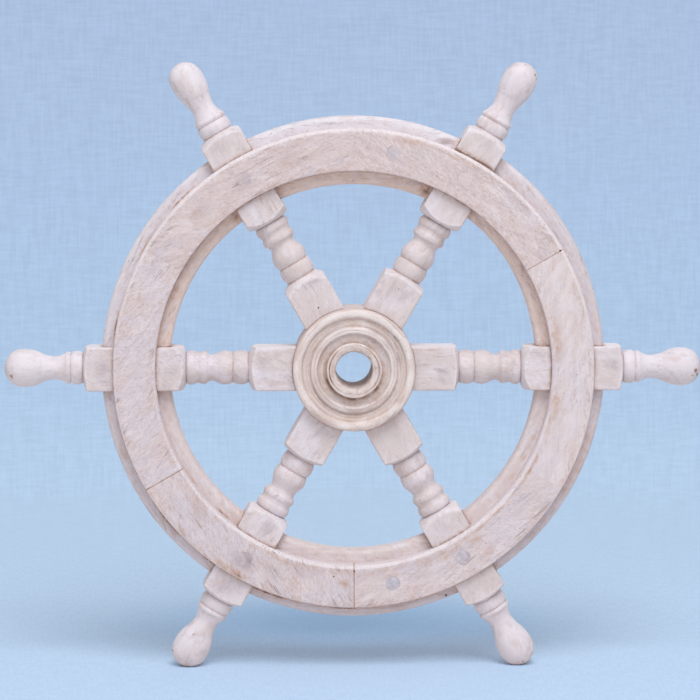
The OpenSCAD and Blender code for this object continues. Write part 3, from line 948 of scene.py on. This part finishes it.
# felloes, the middle layer between the spokes
felloeShape = {
    "edgeR": 4.8 * mm,
    "endGap": 0.12 * mm,
    "cuts": (0, 0.6 * mm, 1.5 * mm, 3 * mm, 5.5 * mm, 9 * mm),   # points near a felloe's ends
    "lean": (3.6 * mm, 0.0, 0.0, 0.0, 0.0, 0.0),          # how far the far end of each felloe stands out
    "leanSpan": (-0.4, 0.3),                              # it starts and is full here, as shares of the pitch
    "leanTurn": 1.2,                                      # at the ends the felloe slides along its spokes
    "upHighlight": 0.12,                                      # painted highlight: pale wash on the outer side where it faces up
    "ringDirtAndShade": (0.75, 1.9 * mm),                         # dirt and painted shade beside the facing rings: strength and reach
    "edgeLine": (0.8 * mm, 1.4 * mm),                     # width of the painted shadow line under the ring's edges, inside and outside
    "edgeLineShadow": 0.85,
    "endDirt": ((0.9, 1.3 * mm), (0.5, 5.0 * mm)),        # beside the spokes: strength and reach
    "tone": 1.4,                                          # of the outer side; below zero warmer, above cooler
    "innerTone": (-2.6, -2.7, -2.5, -1.3, -1.2, -1.3),    # of the inner side of each felloe; below -1.6, on the upper three, it brings in the painted warm bounce light of the shade under the ring
    "innerStainAndShade": (0.05, 0.15, 0.11, 0.10, 0.10, 0.11),   # tan stain and painted shade on the inner step of each felloe, beside the ring
    "outerShade": (0.18, 0.0, 0.1, 0.06, 0.22, 0.16),     # and painted shade on its outer side
    # dark streaks: degrees, then distance from the axle, length and width in mm, strength; the thin lines
    # 211.6 to 212.8 mm out, from 219 to 286 degrees, are painted shadow under the ring's outer edge
    "streaks": ((67.8, 169, 6, 7, 1.2), (112.6, 169, 4, 7, 0.8), (128, 169, 5, 7, 0.9),
                (173, 169, 3, 7, 0.5), (187.4, 169, 4, 7, 0.45), (247, 170, 3, 7, 0.5),
                (338, 215, 60, 6, 0.4), (205, 215, 40, 6, 0.18), (198, 171.8, 18, 1.0, 0.5),
                (214, 171.8, 12, 1.0, 0.8), (228, 171.8, 12, 1.0, 0.9), (135, 210.4, 16, 0.9, 1.1),
                (150, 210.4, 12, 0.9, 0.8), (170, 210.4, 16, 0.9, 1.1), (219, 211.6, 26, 1.0, 1.2),
                (233, 212.1, 20, 0.9, 1.2), (250, 212.5, 26, 0.9, 1.4), (268, 212.8, 30, 0.9, 1.2),
                (286, 212.6, 20, 0.9, 0.8), (10, 215, 16, 6, 0.3), (157, 169, 12, 2, 0.8),
                (326, 169, 5, 1.5, 0.8), (332, 169, 4, 1.5, 0.8), (339, 169, 6, 1.5, 0.7),
                (293.7, 167, 1.6, 8, 1.6), (200, 214, 14, 3, 0.5), (236, 216, 8, 4, 0.7),
                (248, 214, 10, 3, 0.4)),
    "waviness": 0.2 * mm,
}


def felloeSection():
    edge = felloeShape["edgeR"]
    top = felloeHalf
    quarter = math.pi / 2
    flat = [felloeIn + edge + 1.5 * mm]
    flat += [ringIn + away * mm for away in (-2.6, -1.2, -0.4, 0.5)] + [ringMiddle]
    flat += [ringOut + away * mm for away in (-0.5, 0.4, 1.2, 2.4, 3.4)]
    flat += [felloeOut - edge - 1.2 * mm]

    # dirt and painted shade on the flats beside the facing rings
    def darkening(reach):
        strength, fade = felloeShape["ringDirtAndShade"]
        return strength * math.exp(-max(ringIn - reach, reach - ringOut, 0) / fade)

    inCentre, outCentre = felloeIn + edge, felloeOut - edge
    section = cornerArc((inCentre, top - edge), edge, math.pi, quarter, 8, 0.0, 0.2)
    section += plain(*[(reach, top, darkening(reach), 0.3) for reach in flat])
    section += cornerArc((outCentre, top - edge), edge, quarter, 0, 8, 0.0, 0.2)
    section += plain((felloeOut, 0, 0, 0))
    section += cornerArc((outCentre, edge - top), edge, 0, -quarter, 8, 0.0, 0.2)
    section += plain(*[(reach, -top, darkening(reach), 0.3) for reach in reversed(flat)])
    section += cornerArc((inCentre, edge - top), edge, -quarter, -math.pi, 8, 0.0, 0.2)
    section += plain((felloeIn, 0, 0, 0))
    return section


def makeFelloe(number):
    shape = felloeShape
    half = blockHalf + shape["endGap"]
    polar, faces, (soilAndShade, wear, paleAndHighlight), ends = sweepBoard(
        felloeSection(), lambda reach: math.asin(half / reach) - pitch / 2,
        lambda reach: pitch / 2 - math.asin(half / reach), shape["cuts"])
    onWall = np.abs(polar[:, 1]) < felloeHalf - 1 * mm
    polar[:, 0] += uneven(standUp(polar), 40 * mm, shape["waviness"], number + 60) * onWall
    angle = (number - 0.5) * pitch
    down = facesDown(polar, angle)
    outside = polar[:, 0] > ringMiddle
    sheltered = (polar[:, 0] < ringIn) & (np.abs(polar[:, 1]) > felloeHalf - shape["edgeR"])
    beside = np.maximum(np.maximum(ringIn - polar[:, 0], polar[:, 0] - ringOut), 0)
    width = np.where(polar[:, 0] < ringIn, *shape["edgeLine"])
    # painted shade: the dark beside the ring stays where its edges face down
    soilAndShade = soilAndShade * (1 - ringShape["upEdgeShadeCut"] * (1 - down))
    # painted shadow: a dark line beside the ring's edges where they face down
    soilAndShade = np.maximum(soilAndShade, shape["edgeLineShadow"] * down * np.exp(-beside / width))
    # tan stain and painted shade on the inner step beside the ring
    soilAndShade = np.maximum(soilAndShade, np.where(sheltered, shape["innerStainAndShade"][number - 1], 0))
    for strength, fade in shape["endDirt"]:
        soilAndShade = np.maximum(soilAndShade, strength * np.exp(-ends / fade))
    soilAndShade = np.maximum(soilAndShade, placedMarks(polar, angle, shape["streaks"]))
    points = standUp(polar, angle)
    start, full = shape["leanSpan"]
    out = shape["lean"][number - 1] * smooth((polar[:, 2] - start * pitch) / ((full - start) * pitch))
    along = angle + shape["leanTurn"] * polar[:, 2]
    points[:, 0] += out * np.cos(along)
    points[:, 2] += out * np.sin(along)
    middle = 0.5 * (felloeIn + felloeOut)
    centre = (middle * math.cos(angle), middle * math.sin(angle))
    coats = {
        "grain": boardGrain(points, angle + math.pi / 2, number + 60, centre),
        "soilAndShade": soilAndShade,
        "wear": wear,
        # painted highlight on the outer side where it faces up
        "paleAndHighlight": np.where(outside, shape["upHighlight"] * (1 - down), paleAndHighlight),
        "tone": np.where(outside, shape["tone"], shape["innerTone"][number - 1]),
        # painted shade on the outer side
        "grimeAndShade": np.where(outside, shape["outerShade"][number - 1], 0),
    }
    return makePiece(f"felloeBoard{number}", points, faces, coats,
                     felloeWood, [f"felloe_{number}"])


for number in range(1, spokeCount + 1):
    makeFelloe(number)
print("felloes set between the spokes")


# turned pieces of the hub: a closed section spun round the axle
def spinSection(section, steps):
    section = np.array(section)
    columns = len(section)
    points, coats = [], []
    for angle in np.linspace(0, 2 * math.pi, steps, endpoint=False):
        for reach, level, *coatings in section:
            points.append((reach * math.cos(angle), -level, reach * math.sin(angle)))
            coats.append(coatings)
    return np.array(points), tubeFaces(steps, columns, closed=True), np.array(coats).T


plateShape = {
    "steps": 192,
    "beadWidth": 8.2 * mm,
    "dishWidth": 7.2 * mm,
    "ringWidth": 6.6 * mm,
    "ringDrop": 0.8 * mm,      # the raised ring stands this much below the bead
    "ringGroove": 0.4 * mm,    # depth of the fine groove along it
    "dishDrop": 3.2 * mm,      # the dish lies this much below the ring
    "floorDrop": 5.0 * mm,     # and the floor round the bush this much below the bead
    "ringFoot": 1.0 * mm,      # height of the ring's foot over that floor
    "beadFoot": 0.5 * mm,      # height of the bead's foot over the dish
    # across the floor and across the dish: share of the width, rise in mm, darkening: dirt, with painted
    # shade in the floor next to the bush
    "floorLine": ((0.45, 0, 0.85), (0.55, 0, 0.65), (0.64, 0.1, 0.35), (0.78, 0.2, 0.3),
                  (0.92, 0.4, 0.3)),
    "dishLine": ((0.04, -0.1, 0.5), (0.14, 0.2, 0.36), (0.3, 0.35, 0.24), (0.44, 0.4, 0.2),
                 (0.5, 0.2, 0.3), (0.56, 0.4, 0.18), (0.7, 0.5, 0.12), (0.86, 0.6, 0.14),
                 (0.97, 0.4, 0.3)),
    # grey scuffs: degrees, then distance from the axle, length and width in mm, strength
    "smears": ((35, 37, 8, 2.5, 0.5), (14, 40, 5, 3, 0.4), (60, 38, 6, 2, 0.4), (268, 36, 8, 2, 0.5),
               (292, 36, 6, 2, 0.3), (200, 33, 7, 3, 0.3)),
    "litSide": (0.4, 0.9),    # right and up, towards the light: more wash and a painted highlight on this side, more dirt and painted shade on the other
    # how much there is on the lit side, how much more on the other, how much by chance
    "soilAndShadeSpread": (0.25, 0.85, 0.6),
    "paleAndHighlightSpread": (1.3, -0.8, 1.2),
    "wearAndShadeSpread": (0.2, 0.8),
    "tone": 0.1,
}


def plateSection():
    shape = plateShape
    back = blockHalf
    floor = hubFront - shape["floorDrop"]
    beadIn = hubR - shape["beadWidth"]
    ringOutR = beadIn - shape["dishWidth"]
    ringInR = ringOutR - shape["ringWidth"]
    ringTop = hubFront - shape["ringDrop"]
    ringFoot = floor + shape["ringFoot"]
    dish = ringTop - shape["dishDrop"]
    beadFoot = dish + shape["beadFoot"]
    section = plain((hubBoreR, back, 0.6, 0), (hubBoreR, floor - 0.4 * mm, 0.8, 0))
    section += plain((hubBoreR + 0.4 * mm, floor, 1.0, 0))
    for share, rise, darkening in shape["floorLine"]:
        section += plain((blend(hubBoreR, ringInR, share), floor + rise * mm, darkening, 0))
    section += plain((ringInR - 0.1 * mm, floor + 0.8 * mm, 0.35, 0))
    for turn in np.linspace(0, math.pi, 21):  # the raised ring is a low half round with a groove along it
        reach = 0.5 * (ringInR + ringOutR) - 0.5 * shape["ringWidth"] * math.cos(turn)
        groove = math.exp(-(math.cos(turn) / 0.16) ** 2)
        level = blend(ringFoot, ringTop, math.sin(turn) ** 0.7) - shape["ringGroove"] * groove
        crest = max(math.sin(turn) ** 3 - groove, 0)
        darkening = 0.15 * abs(math.cos(turn)) ** 6 + 0.45 * groove
        section.append((reach, level, darkening, 0.4 * crest, 0.5 * crest))
    for share, rise, darkening in shape["dishLine"]:
        section += plain((ringOutR + shape["dishWidth"] * share, dish + rise * mm, darkening, 0))
    for turn in np.linspace(0, math.pi, 17):  # the bead round the edge
        reach = 0.5 * (beadIn + hubR) - 0.5 * shape["beadWidth"] * math.cos(turn)
        level = blend(beadFoot, hubFront, math.sin(turn) ** 0.7)
        crest = math.sin(turn) ** 3
        section.append((reach, level, 0, 0.4 * crest, 0.75 * crest))
    section += plain((hubR, 0.5 * (floor + back), 0.0, 0.1), (hubR, back + 1.2 * mm, 0.1, 0))
    section += plain((hubR, back + 0.3 * mm, 0.4, 0), (hubR - 0.3 * mm, back, 1.0, 0))
    section += plain((0.5 * (hubR + hubBoreR), back, 1.0, 0))
    return section


def turnedGrain(points, seed):  # marks of turning run round the axle
    reach = fromAxle(points)
    across = reach + 0.5 * points[:, 1]
    return np.stack([0.05 * points[:, 0] / reach + seed, across, 0.0008 * points[:, 2] / reach], axis=1)


def makeHubFace():
    shape = plateShape
    points, faces, (soilAndShade, wear, paleAndHighlight) = spinSection(plateSection(), shape["steps"])
    wobble = 1 + uneven(points, 30 * mm, 0.35 * mm, 81) / fromAxle(points)
    points[:, 0] *= wobble
    points[:, 2] *= wobble
    points[:, 1] += uneven(points, 26 * mm, 0.2 * mm, 83)
    points[:, 1] += uneven(points, 4 * mm, 0.14 * mm, 85)
    reach = fromAxle(points)
    # painted light and shade: low is 0 at the upper right, towards the light, and 1 at the lower left;
    # highlight goes to the lit side, shade, dirt and wear to the other
    right, up = shape["litSide"]
    low = 0.5 - 0.5 * (up * points[:, 2] + right * points[:, 0]) / reach

    def spread(values, shares, size, seed):
        least, more, chance = shares
        return np.clip(values * (least + more * low + chance * uneven(points, size, 1.0, seed)), 0, 1)

    leastWear, moreWear = shape["wearAndShadeSpread"]
    polar = np.stack([reach, -points[:, 1], np.arctan2(points[:, 2], points[:, 0])], axis=1)
    coats = {
        "grain": turnedGrain(points, 80),
        "soilAndShade": spread(soilAndShade, shape["soilAndShadeSpread"], 16 * mm, 82),
        "wear": wear * (leastWear + moreWear * low),
        "paleAndHighlight": spread(paleAndHighlight, shape["paleAndHighlightSpread"], 14 * mm, 84),
        "grimeAndShade": placedMarks(polar, 0.0, shape["smears"]),
        "tone": np.full(len(points), shape["tone"]),
    }
    return makePiece("hubFace", points, faces, coats, hubWood, ["hub_front_plate"])


bushShape = {
    "steps": 160,
    "mouth": (4.2 * mm, 3.0 * mm),    # width and depth of the rounded mouth
    "groove": (5.7 * mm, 1.0 * mm),   # distance of the fine groove from the bore, and its depth
    "grooveLeft": 0.12,               # share of that depth at the top and bottom, where wash fills it
    "rimR": 1.4 * mm,
    "wall": 4.0 * mm,
    "flangeBack": 25.3 * mm,          # level of the flange's back
    "endEase": 0.5 * mm,
    # up the bore: share of its length and darkening, stronger deeper in
    "boreLine": ((0.15, 0.8), (0.4, 0.65), (0.6, 0.5), (0.75, 0.42), (0.86, 0.38), (0.94, 0.34), (1, 0.3)),
    # across the groove: distance in mm, share of its depth, dirt
    "grooveLine": ((-0.55, 0.1, 0.3), (-0.25, 0.7, 0.8), (0, 1, 1.0), (0.25, 0.7, 0.8), (0.6, 0.1, 0.2)),
    "tone": 0.2,
}


def bushSection():
    shape = bushShape
    mouthWidth, mouthDepth = shape["mouth"]
    groove, grooveDepth = shape["groove"]
    rim, ease, flangeBack = shape["rimR"], shape["endEase"], shape["flangeBack"]
    wallR = boreR + shape["wall"]
    quarter = math.pi / 2
    section = plain((boreR, bushBack + ease, 0.9, 0))
    for share, soilAndShade in shape["boreLine"]:
        section += plain((boreR, blend(bushBack, bushFront - mouthDepth, share), soilAndShade, 0))
    for turn in np.linspace(0, quarter, 10)[1:]:
        reach = boreR + mouthWidth * (1 - math.cos(turn))
        level = bushFront - mouthDepth * (1 - math.sin(turn))
        section.append((reach, level, 0.3 * math.cos(turn), 0.5, 0.2 * math.sin(2 * turn)))
    for away, share, soilAndShade in shape["grooveLine"]:
        section += plain((boreR + groove + away * mm, bushFront - grooveDepth * share, soilAndShade, 0))
    section += cornerArc((flangeR - rim, bushFront - rim), rim, quarter, 0, 9, 0.05, 0.4, 0.35)
    section += plain((flangeR, flangeBack + 1.6 * mm, 0.5, 0), (flangeR, flangeBack, 1.0, 0))
    section += plain((wallR, flangeBack, 1.0, 0), (wallR, bushBack + ease, 0.5, 0))
    section += plain((wallR - ease, bushBack, 0.3, 0.3), (boreR + ease, bushBack, 0.4, 0.3))
    return section


def makeBush():
    shape = bushShape
    points, faces, (soilAndShade, wear, paleAndHighlight) = spinSection(bushSection(), shape["steps"])
    reach = fromAxle(points)
    kept = blend(shape["grooveLeft"], 1, (points[:, 0] / reach) ** 2)
    nearGroove = np.abs(reach - boreR - shape["groove"][0]) < 0.7 * mm
    depth = nearGroove * np.clip(bushFront + points[:, 1], 0, None)
    inGroove = (depth > 0) & (depth < 1.5 * mm)
    points[:, 1] -= np.where(inGroove, depth * (1 - kept), 0)
    points[:, 1] += uneven(points, 4 * mm, 0.18 * mm, 93)
    patchy = (0.9 + 0.8 * uneven(points, 9 * mm, 1.0, 92)) * np.where(inGroove, kept, 1)
    coats = {
        "grain": turnedGrain(points, 90),
        "soilAndShade": np.clip(soilAndShade * patchy, 0, 1),
        "wear": wear,
        "paleAndHighlight": paleAndHighlight,
        "tone": np.full(len(points), shape["tone"]),
    }
    return makePiece("bushRing", points, faces, coats, bushWood, ["hub_bush"], body="bush")


makeHubFace()
makeBush()
for node, material in (("hub_core", plainHubWood), ("hub_back_plate", plainHubWood), ("rim_screws", steel)):
    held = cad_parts[node].data.materials
    held.clear()
    held.append(material)
print("hub turned")


# plugs over the rim screws, levelled with the boards; some show bluish filler
plugShape = {
    "proud": 0.06 * mm,
    "glueLine": 0.4 * mm,
    "depth": 6 * mm,
    "steps": 40,
    "darkening": (0.08, 0.4),   # in the glue line, and more where there is filler
    # by spoke and place: before the spoke, over it, after it
    "filler": {(6, -1): 0.95, (6, 0): 0.75, (5, 0): 0.3, (2, 1): 0.4, (3, 0): 0.3},
    "grimeAndShade": {(5, 0): 0.55, (3, 0): 0.2, (6, 0): 0.15},
}


def plugSizes():  # radius, and the angle from a spoke to the plugs beside its seams
    points = nodePoints("rim_plugs")
    angles = np.degrees(np.arctan2(points[:, 2], points[:, 0]))
    offset = (angles + 30) % 60 - 30   # from the nearest spoke
    aside = np.abs(offset[np.abs(offset) > 10])
    low, high = radiusSpan("rim_plugs")
    return 0.5 * (high - low), math.radians(0.5 * (aside.min() + aside.max()))


def makePlugs():
    shape = plugShape
    radius, sideAngle = plugSizes()
    columns, proud, glue = shape["steps"], shape["proud"], shape["glueLine"]
    # circles from the middle outwards and down the side: radius, height over the board, dirt
    rings = [(radius * share, proud, 0.0) for share in (0.2, 0.4, 0.6, 0.8)]
    rings += [(radius - 2 * glue, 0.5 * proud, 0.0), (radius - glue, 0.0, 0.6)]
    rings += [(radius, 0.0, 0.8), (radius, -shape["depth"], 1.0)]
    away, rise, darkening = [np.repeat(values, columns) for values in zip(*rings)]
    turn = np.tile(np.linspace(0, 2 * math.pi, columns, endpoint=False), len(rings))
    out, aside = ringMiddle + away * np.cos(turn), away * np.sin(turn)
    cleanDirt, fillerDirt = shape["darkening"]
    points, faces, coats = [], [], []
    for number in range(1, spokeCount + 1):
        angle = (number - 1) * pitch
        heading, boardMiddle = boardHeading(number)
        for place in (-1, 0, 1):
            level = np.full(len(away), ringFront)
            around = np.arctan2(aside, out) + place * sideAngle
            polar = np.stack([np.hypot(out, aside), level, around], axis=1)
            polar[:, 1] += boardWave(polar, number) + rise
            placed = standUp(polar, angle)
            filler = shape["filler"].get((number, place), 0.0)
            patchy = np.clip(0.85 + uneven(placed, 3.5 * mm, 1.1, number + 3 * place), 0, 1.2)
            faces += shifted(closedTube(len(rings), columns), len(points) * len(placed))
            points.append(placed)
            coats.append({
                "grain": boardGrain(placed, heading, number, boardMiddle),
                "soilAndShade": darkening * (cleanDirt + fillerDirt * filler),
                "tone": roundTheRim(ringShape["tone"], around + angle),
                "fill": filler * patchy,
                "paleAndHighlight": np.full(len(placed), ringShape["chalked"][number - 1]),
                "grimeAndShade": shape["grimeAndShade"].get((number, place), 0.0) * patchy,
            })
    coats = {kind: np.concatenate([own[kind] for own in coats]) for kind in coats[0]}
    return makePiece("rimPlugDiscs", np.vstack(points), faces, coats, plugWood, ["rim_plugs"])


makePlugs()


# slotted screws in the back of the hub
screwShape = {
    "headR": 4.2 * mm,
    "shankR": 2.1 * mm,
    "slotWidth": 1.1 * mm,
    "slotDepth": 1.0 * mm,
    "sunk": 0.15 * mm,
    "inset": 6.5 * mm,
    "slotTurn": 1.1,              # each slot stands this much further round than the last
    "tip": (0.4 * mm, 3 * mm),    # radius and length
}


def makeHubScrews():
    shape = screwShape
    headR, shankR, slot = shape["headR"], shape["shankR"], shape["slotDepth"]
    tipEnd, tipLength = shape["tip"]
    low, high = levelSpan("hub_screws")
    top = low + shape["sunk"]
    lean = math.asin(0.5 * shape["slotWidth"] / headR)
    halfTurn = np.linspace(lean, math.pi - lean, 20)
    turn = np.concatenate([halfTurn, halfTurn + math.pi])
    columns, half = len(turn), len(halfTurn)
    rows = [(headR, top), (headR - slot, top + slot), (shankR, top + headR - shankR)]
    rows += [(shankR, high - tipLength), (tipEnd, high)]
    skin = [face for k, face in enumerate(tubeFaces(len(rows), columns)) if k not in (half - 1, columns - 1)]
    for near in (0, half):  # both halves of the head, with their walls of the slot
        far = near + half - 1
        skin.append(tuple(range(near, near + half)))
        skin.append((near, far, far + columns, near + columns))
    skin.append((columns, columns + half - 1, columns + half, 2 * columns - 1))   # the slot's bottom
    skin.append(tuple(reversed(range((len(rows) - 1) * columns, len(rows) * columns))))
    out = hubR - shape["inset"]
    points, faces = [], []
    for number in range(spokeCount):
        angle = (number + 0.5) * pitch
        faces += shifted(skin, len(points))
        for radius, level in rows:
            for t in turn + number * shape["slotTurn"]:
                along, aside = out + radius * math.cos(t), radius * math.sin(t)
                points.append((along * math.cos(angle) - aside * math.sin(angle), -level,
                               along * math.sin(angle) + aside * math.cos(angle)))
    return makePiece("hubScrewSet", points, faces, {}, steel, ["hub_screws"], sharp=30)


makeHubScrews()
print("plugs and screws fitted")


# floor, light and camera
stageLook = {
    "floor": paint(189, 214, 242),
    "shade": paint(160, 202, 246),   # its colour in the shadow behind the wheel
    "shadeAt": (0.0, 0.2, 0.0),
    "shadeSize": (0.2, 0.13),
    "shadeFade": (0.3, 1.3),         # starts to fade and ends here, in shares of that size
    "shadeStrength": 0.6,
    "bounce": paint(220, 219, 222),  # the floor as the light meets it
    "high": paint(172, 193, 224),    # the cloth in the background above the wheel, behind it and below
    "middle": paint(175, 200, 230),
    "low": paint(186, 211, 238),
    "lowToMiddle": (-0.17, -0.09),   # rise of the view where these colours meet
    "middleToHigh": (-0.09, 0.03),
    "weave": 0.06,
    "floorThreads": (420, 60),       # how fast the weave changes across a thread and along it
    "backThreads": (950, 110),
    "size": 7.0,
    "fade": (0.35, 1.5),             # the floor thins out between these distances
    "dullness": 0.9,
}


def canvas(tree, place, fine, coarse):  # weave of the pale cloth, a factor near 1
    threads = []
    for stretch in ((fine, coarse, coarse), (coarse, fine, fine)):
        threads.append(cloud(tree, vectorCalc(tree, "MULTIPLY", place, stretch), 3.0, 0.6).outputs[0])
    both = calc(tree, "ADD", *threads)
    return between(tree, both, 0.6, 1.4, 1 - stageLook["weave"], 1 + stageLook["weave"])


def tinted(tree, colour, strength):
    made = tree.nodes.new("ShaderNodeVectorMath")
    made.operation = "SCALE"
    feed(tree, made.inputs[0], colour)
    feed(tree, made.inputs["Scale"], strength)
    return made.outputs[0]


def joinShaders(tree, share, first, second, output):
    made = tree.nodes.new("ShaderNodeMixShader")
    feed(tree, made.inputs[0], share)
    tree.links.new(first.outputs[0], made.inputs[1])
    tree.links.new(second.outputs[0], made.inputs[2])
    tree.links.new(made.outputs[0], tree.nodes[output].inputs["Surface"])


def makeFloor():
    look = stageLook
    bpy.ops.mesh.primitive_circle_add(vertices=96, radius=look["size"], fill_type="NGON",
                                      location=(0, 0, floorLevel + spokeShape["standCut"]))
    floor = bpy.context.object
    floor.name = "paleFloor"
    material, tree, shader = newMaterial("paleFloor")
    place = tree.nodes.new("ShaderNodeTexCoord").outputs["Object"]
    rays = tree.nodes.new("ShaderNodeLightPath").outputs["Is Camera Ray"]
    moved = vectorCalc(tree, "SUBTRACT", place, look["shadeAt"])
    under = vectorCalc(tree, "LENGTH", vectorCalc(tree, "DIVIDE", moved, (*look["shadeSize"], 1.0)))
    shaded = between(tree, under, *look["shadeFade"], look["shadeStrength"], 0.0)
    colour = mixed(tree, shaded, look["floor"], look["shade"])
    seen = tinted(tree, colour, canvas(tree, place, *look["floorThreads"]))
    feed(tree, shader.inputs["Base Color"], mixed(tree, rays, look["bounce"], seen))
    shader.inputs["Roughness"].default_value = look["dullness"]
    shader.inputs["Specular IOR Level"].default_value = 0.0
    solid = between(tree, vectorCalc(tree, "LENGTH", place), *look["fade"], 1.0, 0.0)
    clear = tree.nodes.new("ShaderNodeBsdfTransparent")
    joinShaders(tree, solid, clear, shader, "Material Output")
    floor.data.materials.append(material)


lightLook = {
    "colour": (1.0, 0.985, 0.975, 1.0),
    "sky": 0.56,
    "ground": 0.65,
    "horizon": (-0.3, 0.8),   # rise of the view from which the sky takes over, and does so fully
    "softbox": (0.25, -1.9, 2.9, 2.2, 74.0),  # place, size and power
    "front": (-0.6, -3.2, 0.4, 2.0, 8.5),
    "rear": (0.6, 3.2, 0.2, 2.0, 12.0),
}


def makeWorld():
    world = bpy.data.worlds.new("paleRoom")
    bpy.context.scene.world = world
    world.use_nodes = True
    tree = world.node_tree
    light = tree.nodes["Background"]
    place = tree.nodes.new("ShaderNodeTexCoord").outputs["Generated"]
    parts = tree.nodes.new("ShaderNodeSeparateXYZ")
    feed(tree, parts.inputs[0], place)
    rise = parts.outputs[2]
    light.inputs["Color"].default_value = lightLook["colour"]
    power = between(tree, rise, *lightLook["horizon"], lightLook["ground"], lightLook["sky"])
    feed(tree, light.inputs["Strength"], power)
    look = stageLook
    cloth = mixed(tree, between(tree, rise, *look["lowToMiddle"]), look["low"], look["middle"])
    cloth = mixed(tree, between(tree, rise, *look["middleToHigh"]), cloth, look["high"])
    shown = tree.nodes.new("ShaderNodeBackground")
    feed(tree, shown.inputs["Color"], tinted(tree, cloth, canvas(tree, place, *look["backThreads"])))
    rays = tree.nodes.new("ShaderNodeLightPath")
    seen = calc(tree, "MAXIMUM", rays.outputs["Is Camera Ray"], rays.outputs["Is Glossy Ray"])
    joinShaders(tree, seen, light, shown, "World Output")


def makeSoftbox(name, x, y, z, size, power):
    light = bpy.data.lights.new(name, "AREA")
    light.shape = "DISK"
    light.size = size
    light.energy = power
    lamp = bpy.data.objects.new(name, light)
    bpy.context.scene.collection.objects.link(lamp)
    lamp.location = (x, y, z)
    lamp.rotation_euler = (-lamp.location).to_track_quat("-Z", "Y").to_euler()


cameraLook = {
    "azimuth": -1.4,      # degrees, like the next one
    "elevation": 5.8,
    "distance": 2.5,
    "aim": (-0.003, 0.0, 0.0150),
    "width": 0.6135,      # metres across the picture at the wheel
    "sensor": 36,
}


def makeCamera():
    look = cameraLook
    camera = bpy.data.cameras.new("camera")
    camera.sensor_width = look["sensor"]
    camera.lens = look["sensor"] * look["distance"] / look["width"]
    eye = bpy.data.objects.new("camera", camera)
    bpy.context.scene.collection.objects.link(eye)
    side, rise = math.radians(look["azimuth"]), math.radians(look["elevation"])
    back = Vector((math.sin(side) * math.cos(rise), -math.cos(side) * math.cos(rise), math.sin(rise)))
    eye.location = Vector(look["aim"]) + back * look["distance"]
    eye.rotation_euler = (-back).to_track_quat("-Z", "Y").to_euler()
    bpy.context.scene.camera = eye


makeFloor()
makeWorld()
makeSoftbox("topSoftbox", *lightLook["softbox"])
makeSoftbox("frontSoftbox", *lightLook["front"])
makeSoftbox("rearSoftbox", *lightLook["rear"])
makeCamera()
bpy.context.scene.view_settings.view_transform = "Standard"
print("floor, light and camera placed")

bpy.context.view_layer.update()
